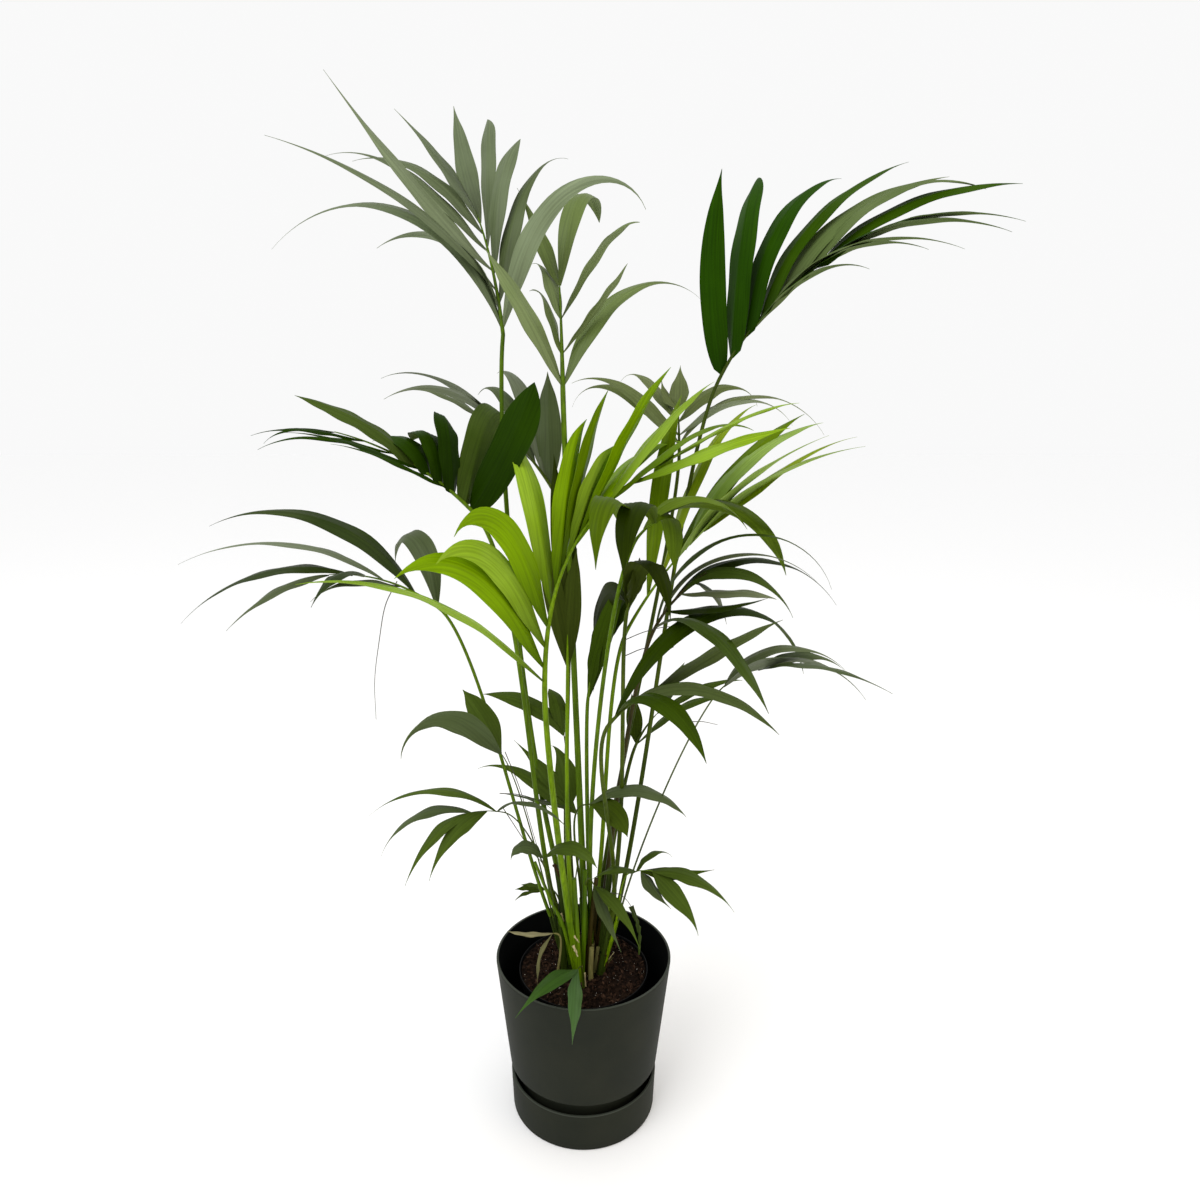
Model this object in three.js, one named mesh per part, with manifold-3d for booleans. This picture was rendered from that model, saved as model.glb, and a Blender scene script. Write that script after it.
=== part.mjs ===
// A kentia palm: six short stems of slender arching fronds in a nursery pot, which stands loose
// in a round planter on its own water tray. Millimetres, +Z up, the origin in the middle of the
// tray's underside, the front towards -Y.

import * as THREE from 'three';
import { mergeVertices } from 'three/addons/utils/BufferGeometryUtils.js';
import Module from 'manifold-3d';

const wasm = await Module();
wasm.setup();

// Pieces that rest on each other keep this far apart.
const clearance = 0.3;

// The planter: a cone that narrows to a neck, and the neck stands in the tray.
const rimRadius = 120;
const planterHeight = 230;
const coneFootRadius = 103;
const coneFootHeight = 73;
const neckRadius = 90;
const neckTaper = 5;
const planterWall = 3;
const planterFloor = 4;
const rimRound = 1.5;

const trayRadius = 102;
const trayFootRadius = 100;
const trayHeight = 55;
const trayWall = 4;
const trayFloor = 4;
const trayRound = 3;

const potRimRadius = 89;
const potFootRadius = 66;
const potRimHeight = 212;
const potWall = 1.2;
const soilHeight = 205;
const roundSegments = 36;

// Where each stem leaves the soil, and where its top is, from which its fronds part.
const stemFootRadius = 7;
const stemTopRadius = 10;
const stemSides = 10;
const stems = {
  left: { foot: [-19, -8], top: [-38, -14, 295] },
  front: { foot: [-4, -20], top: [-16, -34, 305] },
  back: { foot: [-9, 9], top: [-18, 18, 300] },
  middle: { foot: [8, -4], top: [4, -4, 315] },
  right_back: { foot: [12, 14], top: [24, 22, 305] },
  right: { foot: [23, -10], top: [40, -16, 290] },
};

// Petioles stand in a circle on the stem's top. Each begins along its stem and ends along its rib.
const petioleCircle = 7;
const petioleSides = 5;
const petioleSteps = 6;
const petioleRise = 0.3;
const petioleNeck = 0.15;
const frondRadii = { petioleFoot: 2.8, ribFoot: 1.6, ribTip: 0.8 };
const smallRadii = { petioleFoot: 2.2, ribFoot: 1.2, ribTip: 0.7 };

const ribSides = 4;
const ribSteps = 24;
const ribStride = 4;

// A leaflet widens from its foot to its widest place and narrows to a long point.
const leafletSteps = 12;
const bentDroop = 75;
const shortLength = 150;
const leafletFoot = 0.22;
const widestPlace = 0.46;
const tipSharpness = 1.9;
const usualBend = 2.2;
const leastThickness = 2.4;
const lengthToThickness = 90;
const firstLeaflet = 8;
const leafletGap = 0.4;

// A leaflet that would touch something is turned about the rib, swung towards it or away, or both.
const turns = [0, 12, -12, 24, -24, 40, -40];
const swings = [0, 6, -6, 12, -12];
const turnCost = 0.5;

const colours = {
  anthracite: { color: '#2c2f29', roughness: 0.55 },
  potBlack: { color: '#17181a', roughness: 0.7 },
  soil: { color: '#3a2a1e', roughness: 1 },
  stemGreen: { color: '#7c8a44', roughness: 0.6 },
  petioleGreen: { color: '#5f7c3c', roughness: 0.5 },
  greyGreen: { color: '#6c8066', roughness: 0.5 },
  deepGreen: { color: '#43603a', roughness: 0.45 },
  darkGreen: { color: '#31472c', roughness: 0.45 },
  youngGreen: { color: '#7c9c3d', roughness: 0.45 },
  driedTan: { color: '#b8a878', roughness: 0.8 },
};

// Every frond grows from its crown, which is where the petiole ends and the rib begins. Angles are
// in degrees. The rib's heading is counted from +X towards +Y, and it sweeps by so much along the
// rib, while its rise falls. Each side has a count of leaflets over a span of the rib. Their spread
// is the angle from the rib, their lift turns them about the rib, and they droop towards straight
// down, the more of it near the tip the higher the bend. Values in brackets run along the side.

const fronds = {
  tall_left: {
    stem: 'back', side: 180, crown: [-100, 60, 1055], tone: 'greyGreen', width: 30, bow: -40,
    rib: { heading: 115, rise: 74, fall: 32, length: 205 },
    left: { count: 7, span: [0, 0.85], spread: [12, 14, 42, 44, 38, 36, 42],
      lift: [20, 55, 30, 10, 15, 30, 55], length: [440, 230, 310, 295, 245, 200, 160],
      droop: [110, 105, 45, -10, 65, 70, 25], bend: [1, 1, 0.8, 0.8, 2.4, 1.6, 0.6],
      roll: [5, -20, -15, -5, -10, 10, -30] },
    right: { count: 5, span: [0, 0.8], spread: [32, 20, 26, 22, 2], lift: [70, 55, 80, 75, 75],
      length: [295, 255, 190, 195, 195], droop: [140, 75, 55, 45, -20], bend: [2.2, 2.2, 2.4, 3, 1.6],
      roll: [25, -5, 20, 5, 30] },
  },
  tall_middle: {
    stem: 'middle', side: 120, crown: [-25, 20, 985], tone: 'greyGreen', width: 30,
    rib: { heading: 95, rise: 74, fall: 12, length: 140 },
    left: { count: 4, spread: [28, 10, 10, 18], lift: [35, 10, 10, 10], length: [180, 120, 115, 150],
      droop: [15, 80, 70, 10], bend: [1, 2.4, 2, 2.2], roll: [-5, -55, -20, -10],
      width: [30, 34, 24, 24] },
    right: { count: 4, spread: [22, 44, 74, 16], lift: [15, 30, 70, 60], length: [270, 130, 200, 210],
      droop: [100, 0, 55, 160], bend: [1.6, 1.8, 3.2, 2.8], roll: [-25, -85, -60, 45], width: [30] },
  },
  tall_right: {
    stem: 'right', side: 60, crown: [170, 60, 1000], tone: 'deepGreen', width: 32,
    rib: { heading: 5, rise: 64, fall: 38, length: 228 },
    left: { count: 7, span: [0, 0.8], spread: [38, 28, 28, 28, 24, 18, 16],
      lift: [85, 75, 80, 80, 80, 80, 80], length: [240, 265, 280, 310, 290, 295, 295],
      droop: [-20, 60, 75, 60, 60, 75, 50], bend: [1.2, 2.6, 1.6, 0.8, 0.8, 1.4, 0.8],
      roll: [0, 50, 50, 55, 45, 60, 55] },
    right: { count: 5, span: [0.3, 0.95], spread: [4, 18, 10, 18, 22], lift: [-10, 75, 75, 55, 40],
      length: [175, 260, 185, 240, 215], droop: [75, 85, 70, 70, 60], bend: [2, 0.8, 1, 0.8, 0.8],
      roll: [-30, 60, 65, 40, 25] },
  },
  shoulder_left: {
    stem: 'left', side: 85, crown: [-130, -20, 840], tone: 'deepGreen', width: 38,
    rib: { heading: 180, rise: 48, fall: 34, length: 195 },
    left: { count: 5, span: [0.25, 1], spread: [32, 30, 32, 28, 20], lift: [-10, -10, -10, -5, -10],
      length: [150, 170, 160, 130, 85], droop: [20, 25, 45, 35, 60], bend: [2.2, 2.2, 2.2, 2, 2.2],
      roll: [-5, -10, -5, -5, -5], width: [16, 20, 16, 20, 20] },
    right: { count: 6, span: [0, 0.46], spread: [80, 62, 46, 48, 46, 26],
      lift: [85, 50, 80, 85, 85, 85], length: [170, 200, 125, 110, 105, 170],
      droop: [-15, 95, 120, 150, 110, 45], bend: [0.6, 3.2, 3.2, 2, 1, 0.6],
      roll: [-25, 20, 50, 55, 55, 70] },
  },
  side_left: {
    stem: 'left', side: 175, crown: [-165, -80, 735], tone: 'darkGreen', width: 30, bow: -15,
    rib: { heading: 182, rise: 42, fall: 46, length: 140 },
    left: { count: 3, span: [0.4, 1], spread: [30, 64, 46], lift: [-10, 40, 25],
      length: [110, 105, 135], droop: [60, 90, 55], bend: [2.2, 0.8, 0.6], roll: [0, 5, 20],
      width: [16, 30, 30] },
    right: { count: 4, span: [0, 0.8], spread: [46, 30, 26, 18], lift: [80, 80, 85, 85],
      length: [175, 285, 255, 225], droop: [170, 85, 70, 70], bend: [1.6, 1, 0.8, 0.8],
      roll: [-5, 50, 85, 75] },
  },
  young_arching: {
    stem: 'front', side: 250, crown: [-45, -110, 650], tone: 'youngGreen', width: 36,
    rib: { heading: 90, sweep: -80, rise: 76, fall: 48, length: 320 },
    left: { count: 9, span: [0, 0.6], spread: [50, 44, 48, 48, 22, 16, 12, 12, 8],
      lift: [40, 60, 70, 80, 50, 80, 75, 85, 85], length: [315, 255, 220, 230, 265, 225, 240, 155, 255],
      droop: [55, 95, 105, 120, 85, 50, 20, 35, 15], bend: [1.6, 2.6, 3.2, 3.2, 3, 3.2, 3, 3, 3.2],
      roll: [-85, -5, 0, 15, -15, 5, -30, -15, -35] },
    right: { count: 5, span: [0.55, 1], spread: [-2, -4, 10, 44, 26], lift: [5, 10, 10, 0, 15],
      length: [270, 285, 220, 210, 190], droop: [60, 25, 70, 15, 30], bend: [1.6, 2.6, 3.2, 2.8, 3.2] },
  },
  young_right: {
    stem: 'right_back', side: 220, crown: [55, 0, 690], tone: 'youngGreen', width: 31,
    rib: { heading: 20, rise: 60, fall: 22, length: 170 },
    left: { count: 4, span: [0.3, 0.75], spread: [28, 20, 10, 22], lift: [60, 75, 50, 80],
      length: [300, 280, 290, 285], droop: [45, 55, 35, 60], bend: [2.4, 2.6, 1.6, 1],
      roll: [10, 75, 20, 65], width: [25, 31, 25, 31] },
    right: { count: 3, span: [0.65, 0.95], spread: [24, 18, 6], lift: [65, 60, 0],
      length: [245, 260, 240], droop: [45, 50, 30], bend: [0.8, 0.8, 2.2], roll: [15, 20, -5],
      width: [31] },
  },
  back_left: {
    stem: 'back', side: 110, crown: [-40, 110, 855], tone: 'greyGreen', width: 34,
    rib: { heading: 160, rise: 58, fall: 33, length: 165 },
    left: { count: 3, span: [0.3, 0.8], spread: [20, 44, 10], lift: [15, 30, 10],
      length: [240, 215, 150], droop: [75, 75, 60], bend: [2.6, 1.4, 2.2], roll: [-35, 25, 15],
      width: [22, 25, 22] },
    right: { count: 4, span: [0, 0.4], spread: [30, 22, 20, 32], lift: [55, 45, 35, 60],
      length: [160, 215, 190, 120], droop: [0, 85, 100, 175], bend: [2.2, 3.2, 3, 2.8],
      width: [36, 26, 24, 20] },
  },
  back_right: {
    stem: 'right_back', side: 90, crown: [130, 130, 910], tone: 'greyGreen', width: 30,
    rib: { heading: 90, rise: 70, fall: 10, length: 60 },
    left: { count: 4, spread: [38, 44, 30, 36], lift: [5, -20, -35, -10], length: [190, 215, 165, 50],
      droop: [75, 105, 85, -45], bend: [2.4, 3.2, 3.2, 2.4], roll: [0, -20, -50, -45],
      width: [20, 21, 21, 26] },
    right: { count: 4, spread: [32, 48, 42, 4], lift: [15, 10, 15, 10], length: [270, 190, 145, 75],
      droop: [110, 100, 120, 25], bend: [1, 1.6, 2, 2], roll: [-35, -45, -20, 0],
      width: [21, 26, 26, 28] },
  },
  curled_front: {
    stem: 'middle', side: 320, crown: [55, -100, 815], tone: 'darkGreen', width: 32,
    rib: { heading: -45, rise: 60, fall: 35, length: 45 },
    left: { count: 3, spread: [38, 42, 84], lift: [35, 65, 50], length: [270, 160, 130],
      droop: [130, 130, 170], bend: [0.8], roll: [-5, 0, -50] },
    right: { count: 2, spread: [46, 56], lift: [0, 35], length: [235, 165], droop: [170],
      bend: [3.2, 1.6], roll: [-60, -5] },
  },
  curled_low: {
    stem: 'right', side: 150, crown: [50, -90, 735], tone: 'darkGreen', width: 32,
    rib: { heading: -60, rise: 75, fall: 10, length: 15 },
    left: { count: 2, spread: [74, -2], lift: [80, 20], length: [235, 60], droop: [160, -10],
      bend: [0.8, 1.6], roll: [10, 0] },
    right: { count: 1, spread: [10], lift: [75], length: [190], droop: [160], bend: [1.2], roll: [50] },
  },
  side_right: {
    stem: 'right_back', side: 310, crown: [85, -30, 695], tone: 'darkGreen', width: 26,
    rib: { heading: -20, rise: 66, fall: 30, length: 105 },
    left: { count: 5, span: [0.05, 0.8], spread: [20, 26, 20, 16, 78], lift: [85, 85, 35, 85, -15],
      length: [305, 240, 265, 165, 115], droop: [155, 130, 115, 130, 65],
      bend: [1.2, 0.8, 0.8, 0.8, 0.8], roll: [70, 65, -5, 60, -60] },
    right: { count: 3, span: [0.05, 0.6], spread: [36, 48, 40], lift: [-20, -60, -65],
      length: [260, 145, 125], droop: [85, -10, 25], bend: [0.8, 2, 3.2], roll: [-55, -60, -65] },
  },
  slender_right: {
    stem: 'right', side: 0, crown: [165, -60, 630], tone: 'deepGreen', width: 22,
    rib: { heading: 0, rise: 50, fall: 40, length: 55 },
    left: { count: 2, spread: [26, 24], lift: [85, 35], length: [180, 135], droop: [115, 65],
      bend: [0.8, 1.2], roll: [70, 0], width: [22, 18] },
    right: { count: 2, spread: [20, 60], lift: [30], length: [195, 210], droop: [105, 40],
      bend: [1.2, 0.8], roll: [-25, 10] },
  },
  low_right: {
    stem: 'right', side: 240, crown: [30, -130, 615], tone: 'darkGreen', width: 30,
    rib: { heading: -10, rise: 52, fall: 20, length: 60 },
    left: { count: 1, spread: [26], lift: [50], length: [385], droop: [140], bend: [1.2] },
    right: { count: 3, span: [0.2, 1], spread: [30, 10, 4], lift: [65, 50, 85], length: [175, 185, 170],
      droop: [135, 95, 15], bend: [0.8, 0.8, 3.2], roll: [40, -5, 40] },
  },
  low_back: {
    stem: 'right_back', side: 20, crown: [70, 60, 505], tone: 'darkGreen', width: 20,
    rib: { heading: 30, rise: 65, fall: 30, length: 60 },
    left: { count: 2, spread: [30, 20], lift: [40], length: [70, 90], droop: [10, 20], roll: [-10, 25],
      width: [23, 20] },
    right: { count: 2, spread: [30, 20], lift: [0], length: [150, 130], droop: [50, 40], roll: [-25, 0],
      width: [20, 16] },
  },
  upright_front: {
    stem: 'front', side: 70, crown: [-20, -20, 640], tone: 'deepGreen', width: 26,
    rib: { heading: 90, rise: 85, fall: 5, length: 60 },
    left: { count: 2, spread: [10, 4], lift: [10], length: [190, 215], droop: [5, 5] },
    right: { count: 2, spread: [3, 0], lift: [10], length: [150, 150], droop: [10, 5] },
  },
  upright_middle: {
    stem: 'middle', side: 50, crown: [5, -25, 600], tone: 'deepGreen', width: 26,
    rib: { heading: 30, rise: 86, fall: 26, length: 80 },
    left: { count: 1, spread: [0], lift: [35], length: [140], droop: [35], bend: [2.8], roll: [30] },
    right: { count: 2, spread: [6, 16], lift: [-10, 35], length: [175, 100], droop: [20, 25],
      bend: [1.6, 2.8], roll: [25, 35] },
  },
};

const smallLeaves = {
  pair_left: {
    stem: 'left', side: 250, crown: [-95, -90, 555], tone: 'deepGreen', width: 34,
    rib: { heading: 170, rise: 60, fall: 10, length: 12 },
    left: { count: 1, spread: [36], lift: [15], length: [190], droop: [140], bend: [2.8], roll: [-80] },
    right: { count: 1, spread: [14], lift: [75], length: [90], droop: [25], bend: [1.6], roll: [30] },
  },
  pair_back: {
    stem: 'back', side: 40, crown: [-25, 40, 525], tone: 'deepGreen', width: 28,
    rib: { heading: 120, rise: 70, fall: 10, length: 12 },
    left: { count: 1, spread: [24], lift: [35], length: [130], droop: [70], bend: [0.8], roll: [15] },
    right: { count: 1, spread: [10], lift: [85], length: [80], droop: [95], bend: [2.4], roll: [90] },
  },
  triple_left: {
    stem: 'back', side: 330, crown: [-5, 15, 425], tone: 'deepGreen', width: 28,
    rib: { heading: 168, rise: 55, fall: 10, length: 20 },
    left: { count: 2, spread: [12, 32], lift: [-55], length: [155, 100], droop: [70, 10],
      bend: [3.2, 2.4], roll: [-35, -80], width: [28, 34] },
    right: { count: 2, spread: [0, 38], lift: [5, 75], length: [130, 100], droop: [10, 100],
      bend: [3.2, 2.4], roll: [-55, 5], width: [28, 35] },
  },
  drooping_left: {
    stem: 'left', side: 20, crown: [-100, -70, 475], tone: 'deepGreen', width: 22,
    rib: { heading: 180, rise: 10, fall: 20, length: 40 },
    left: { count: 3, spread: [112, 52, 58], lift: [70, 15, 30], length: [125, 120, 130],
      droop: [95, 80, 80], bend: [0.8, 1, 0.8], roll: [-40, 35, 25] },
    right: { count: 2, spread: [40, 34], lift: [85], length: [180, 150], droop: [90, 95], bend: [0.8],
      roll: [85, 75] },
  },
  pair_front: {
    stem: 'left', side: 320, crown: [-50, -80, 415], tone: 'deepGreen', width: 22,
    rib: { heading: -90, rise: 60, fall: 10, length: 6 },
    left: { count: 1, spread: [34], lift: [25], length: [95], droop: [105], bend: [1.4], roll: [-45] },
    right: { count: 1, spread: [48], lift: [50], length: [60], droop: [165], bend: [1.4], roll: [-50] },
  },
  pair_right: {
    stem: 'middle', side: 190, crown: [0, -50, 475], tone: 'deepGreen', width: 30,
    rib: { heading: 0, rise: 12, fall: 20, length: 20 },
    left: { count: 1, spread: [44], lift: [85], length: [145], droop: [105], bend: [0.8], roll: [75] },
    right: { count: 1, spread: [34], lift: [40], length: [70], droop: [100], bend: [0.8], roll: [80] },
  },
  fan_right: {
    stem: 'right', side: 300, crown: [60, -50, 380], tone: 'deepGreen', width: 26,
    rib: { heading: 0, rise: 20, fall: 30, length: 30 },
    left: { count: 3, spread: [62, 26, 16], lift: [85, -50, 70], length: [65, 105, 135],
      droop: [130, -15, 65], bend: [1.2, 1.4, 0.8], roll: [90, -60, 50] },
    right: { count: 3, spread: [112, 62, 38], lift: [70, -65, -55], length: [70, 60, 100],
      droop: [70, -20, 40], bend: [0.6, 1.4, 3], roll: [-55, -55, 0] },
  },
  hanging_middle: {
    stem: 'middle', side: 255, crown: [10, -60, 375], tone: 'deepGreen', width: 20,
    rib: { heading: -60, rise: -20, fall: 10, length: 10 },
    left: { count: 1, spread: [34], lift: [65], length: [100], droop: [65], bend: [0.8], roll: [65] },
    right: { count: 1, spread: [8], lift: [-60], length: [90], droop: [-5], bend: [1.6], roll: [-75] },
  },
  over_rim: {
    foot: [0, -42], crown: [-5, -75, 260], tone: 'deepGreen', width: 24,
    rib: { heading: -110, rise: 8, fall: 5, length: 6 },
    left: { count: 1, spread: [28], lift: [-55], length: [110], droop: [-20], bend: [1.8],
      roll: [-10] },
    right: { count: 1, spread: [32], lift: [50], length: [115], droop: [55], bend: [0.8], roll: [35] },
  },
  dried: {
    foot: [-36, -34], crown: [-35, -40, 285], tone: 'driedTan', width: 8,
    rib: { heading: 180, rise: 10, fall: 5, length: 6 },
    left: { count: 1, spread: [56], lift: [-60], length: [75], droop: [95], bend: [1.6], roll: [-50] },
    right: { count: 1, spread: [34], lift: [-50], length: [70], droop: [-20], bend: [1.2],
      roll: [-65] },
  },
  small_back: {
    foot: [-22, 26], crown: [-45, 50, 295], tone: 'deepGreen', width: 10,
    rib: { heading: 180, rise: 10, fall: 10, length: 10 },
    left: { count: 1, spread: [10], lift: [0], length: [50], droop: [60] },
    right: { count: 2, spread: [20, 10], lift: [20], length: [40, 45], droop: [30] },
  },
};

const up = new THREE.Vector3(0, 0, 1);
const down = new THREE.Vector3(0, 0, -1);
const radians = THREE.MathUtils.degToRad;

function heading(turn, rise) {
  const flat = Math.cos(radians(rise));
  return new THREE.Vector3(
    Math.cos(radians(turn)) * flat,
    Math.sin(radians(turn)) * flat,
    Math.sin(radians(rise)),
  );
}

// The value at t along a row of values that are evenly spaced from 0 to 1.
function along(values, t) {
  const place = t * (values.length - 1);
  const first = Math.min(Math.floor(place), Math.max(values.length - 2, 0));
  const next = Math.min(first + 1, values.length - 1);
  return THREE.MathUtils.lerp(values[first], values[next], place - first);
}

// A solid that can be joined and tested: corners at one place are merged, and empty faces left out.
function solidOf(geometry) {
  geometry.deleteAttribute('normal');
  geometry.deleteAttribute('uv');
  const merged = mergeVertices(geometry);
  const corners = merged.index.array;
  const faces = [];
  for (let i = 0; i < corners.length; i += 3) {
    const face = corners.slice(i, i + 3);
    if (new Set(face).size === 3) {
      faces.push(...face);
    }
  }
  return new wasm.Manifold(new wasm.Mesh({
    numProp: 3,
    vertProperties: new Float32Array(merged.getAttribute('position').array),
    triVerts: new Uint32Array(faces),
  }));
}

function geometryOf(solid) {
  const mesh = solid.getMesh();
  const geometry = new THREE.BufferGeometry();
  geometry.setAttribute('position', new THREE.BufferAttribute(mesh.vertProperties, 3));
  geometry.setIndex(new THREE.BufferAttribute(mesh.triVerts, 1));
  geometry.computeVertexNormals();
  return geometry;
}

// Joins solids into one body. Scraps and sealed hollows are left out.
function fuse(solids) {
  const joined = solids.reduce((whole, piece) => whole.add(piece));
  return joined.decompose().reduce((a, b) => (b.volume() > a.volume() ? b : a));
}

// A closed skin over rings of points, counted anticlockwise about the way they run. Both ends are
// flat, or the last ring is a single point.
function skin(rings) {
  const sides = rings[0].length;
  const points = rings.flat();
  const faces = [];
  for (let ring = 0; ring < rings.length - 1; ring += 1) {
    const near = ring * sides;
    const far = near + sides;
    const closing = rings[ring + 1].length === 1;
    for (let i = 0; i < sides; i += 1) {
      const j = (i + 1) % sides;
      if (closing) {
        faces.push(near + i, near + j, far);
      } else {
        faces.push(near + i, near + j, far + j, near + i, far + j, far + i);
      }
    }
  }
  const last = points.length - sides;
  const flatEnd = rings[rings.length - 1].length > 1;
  for (let i = 1; i < sides - 1; i += 1) {
    faces.push(0, i + 1, i);
    if (flatEnd) {
      faces.push(last, last + i, last + i + 1);
    }
  }
  const geometry = new THREE.BufferGeometry().setFromPoints(points);
  geometry.setIndex(faces);
  return solidOf(geometry);
}

function turned(shape) {
  const lathe = new THREE.LatheGeometry(shape.getPoints(2), roundSegments);
  lathe.rotateX(Math.PI / 2);
  return solidOf(lathe);
}

function planter() {
  const neckInside = neckRadius - planterWall;
  const rimInside = rimRadius - planterWall;
  const floorTop = coneFootHeight + planterFloor;
  const neckFoot = trayFloor + clearance;
  const shape = new THREE.Shape();
  shape.moveTo(0, coneFootHeight);
  shape.lineTo(neckInside, coneFootHeight);
  shape.lineTo(neckInside - neckTaper, neckFoot);
  shape.lineTo(neckRadius - neckTaper, neckFoot);
  shape.lineTo(neckRadius, coneFootHeight);
  shape.lineTo(coneFootRadius - rimRound, coneFootHeight);
  shape.quadraticCurveTo(coneFootRadius, coneFootHeight, coneFootRadius, coneFootHeight + rimRound);
  shape.lineTo(rimRadius, planterHeight - rimRound);
  shape.quadraticCurveTo(rimRadius, planterHeight, rimRadius - rimRound, planterHeight);
  shape.quadraticCurveTo(rimInside, planterHeight, rimInside, planterHeight - rimRound);
  shape.lineTo(coneFootRadius - planterWall, floorTop);
  shape.lineTo(0, floorTop);
  return turned(shape);
}

function waterTray() {
  const round = trayWall / 2;
  const middle = trayRadius - round;
  const shape = new THREE.Shape();
  shape.moveTo(0, 0);
  shape.lineTo(trayFootRadius - trayRound, 0);
  shape.quadraticCurveTo(trayFootRadius, 0, trayFootRadius, trayRound);
  shape.lineTo(trayRadius, trayHeight - round);
  shape.quadraticCurveTo(trayRadius, trayHeight, middle, trayHeight);
  shape.quadraticCurveTo(trayRadius - trayWall, trayHeight, trayRadius - trayWall, trayHeight - round);
  shape.lineTo(trayFootRadius - trayWall, trayFloor);
  shape.lineTo(0, trayFloor);
  return turned(shape);
}

const potFootHeight = coneFootHeight + planterFloor + clearance;
const potSlope = (potRimRadius - potFootRadius) / (potRimHeight - potFootHeight);

function potRadius(height) {
  return potFootRadius + potSlope * (height - potFootHeight);
}

function nurseryPot() {
  const floorTop = potFootHeight + potWall;
  const shape = new THREE.Shape();
  shape.moveTo(0, potFootHeight);
  shape.lineTo(potFootRadius, potFootHeight);
  shape.lineTo(potRimRadius, potRimHeight);
  shape.lineTo(potRimRadius - potWall, potRimHeight);
  shape.lineTo(potRadius(floorTop) - potWall, floorTop);
  shape.lineTo(0, floorTop);
  return turned(shape);
}

function rootBall() {
  const foot = potFootHeight + potWall + clearance;
  const inset = potWall + clearance;
  const shape = new THREE.Shape();
  shape.moveTo(0, foot);
  shape.lineTo(potRadius(foot) - inset, foot);
  shape.lineTo(potRadius(soilHeight) - inset, soilHeight);
  shape.lineTo(0, soilHeight);
  return turned(shape);
}

function levelRing(x, y, z, radius) {
  return Array.from({ length: stemSides }, (_, i) => {
    const angle = (i / stemSides) * 2 * Math.PI;
    return new THREE.Vector3(x + radius * Math.cos(angle), y + radius * Math.sin(angle), z);
  });
}

function stemSolid(stem) {
  const foot = levelRing(...stem.foot, soilHeight + clearance, stemFootRadius);
  const top = levelRing(...stem.top, stemTopRadius);
  return skin([foot, top]);
}

// A tapering limb over stations, each a point and the way the limb runs there. Each ring is turned
// as little as can be from the one before.
function limb(stations, footRadius, tipRadius, sides) {
  const across = new THREE.Vector3(1, 0, 0);
  if (Math.abs(stations[0].way.x) > 0.9) {
    across.set(0, 1, 0);
  }
  const rings = stations.map(({ point, way }, station) => {
    across.addScaledVector(way, -across.dot(way)).normalize();
    const over = way.clone().cross(across);
    const radius = THREE.MathUtils.lerp(footRadius, tipRadius, station / (stations.length - 1));
    return Array.from({ length: sides }, (_, i) => {
      const angle = (i / sides) * 2 * Math.PI;
      return point.clone()
        .addScaledVector(across, radius * Math.cos(angle))
        .addScaledVector(over, radius * Math.sin(angle));
    });
  });
  return skin(rings);
}

function ribWay(rib, s) {
  return heading(rib.heading + (rib.sweep ?? 0) * s, rib.rise - rib.fall * s);
}

function ribPath(frond) {
  const stations = [{ point: new THREE.Vector3(...frond.crown), way: ribWay(frond.rib, 0) }];
  for (let i = 1; i <= ribSteps; i += 1) {
    const halfway = ribWay(frond.rib, (i - 0.5) / ribSteps);
    const point = stations[i - 1].point.clone().addScaledVector(halfway, frond.rib.length / ribSteps);
    stations.push({ point, way: ribWay(frond.rib, i / ribSteps) });
  }
  return stations;
}

function ribSolid(frond, radii) {
  const stations = ribPath(frond).filter((_, i) => i % ribStride === 0);
  return limb(stations, radii.ribFoot, radii.ribTip, ribSides);
}

// Where the petiole stands, and the way its stem points.
function petioleFoot(frond) {
  if (frond.foot) {
    return { point: new THREE.Vector3(...frond.foot, soilHeight + clearance), way: up };
  }
  const stem = stems[frond.stem];
  const top = new THREE.Vector3(...stem.top);
  const way = top.clone().sub(new THREE.Vector3(...stem.foot, soilHeight)).normalize();
  const point = top.addScaledVector(heading(frond.side, 0), petioleCircle);
  point.z += clearance;
  return { point, way };
}

// The petiole stops short of the crown by endGap, which is nothing where it is fused to its rib.
function petioleSolid(frond, radii, endGap) {
  const foot = petioleFoot(frond);
  const end = ribWay(frond.rib, 0);
  const crown = new THREE.Vector3(...frond.crown);
  const reach = crown.distanceTo(foot.point);
  const leaving = foot.point.clone().addScaledVector(foot.way, reach * petioleRise);
  const arriving = crown.clone().addScaledVector(end, -reach * petioleNeck);
  leaving.x += frond.bow ?? 0;
  arriving.x += 0.6 * (frond.bow ?? 0);
  const last = crown.clone().addScaledVector(end, -endGap);
  const curve = new THREE.CubicBezierCurve3(foot.point, leaving, arriving, last);
  const stations = Array.from({ length: petioleSteps + 1 }, (_, i) => {
    const t = i / petioleSteps;
    return { point: curve.getPoint(t), way: curve.getTangent(t) };
  });
  stations[0].way = up.clone();
  return limb(stations, radii.petioleFoot, radii.ribFoot, petioleSides);
}

function halfWidth(width, t) {
  if (t < widestPlace) {
    const opening = Math.sin((Math.PI / 2) * (t / widestPlace));
    return (width / 2) * (leafletFoot + (1 - leafletFoot) * opening);
  }
  return (width / 2) * (1 - ((t - widestPlace) / (1 - widestPlace)) ** tipSharpness);
}

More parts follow.
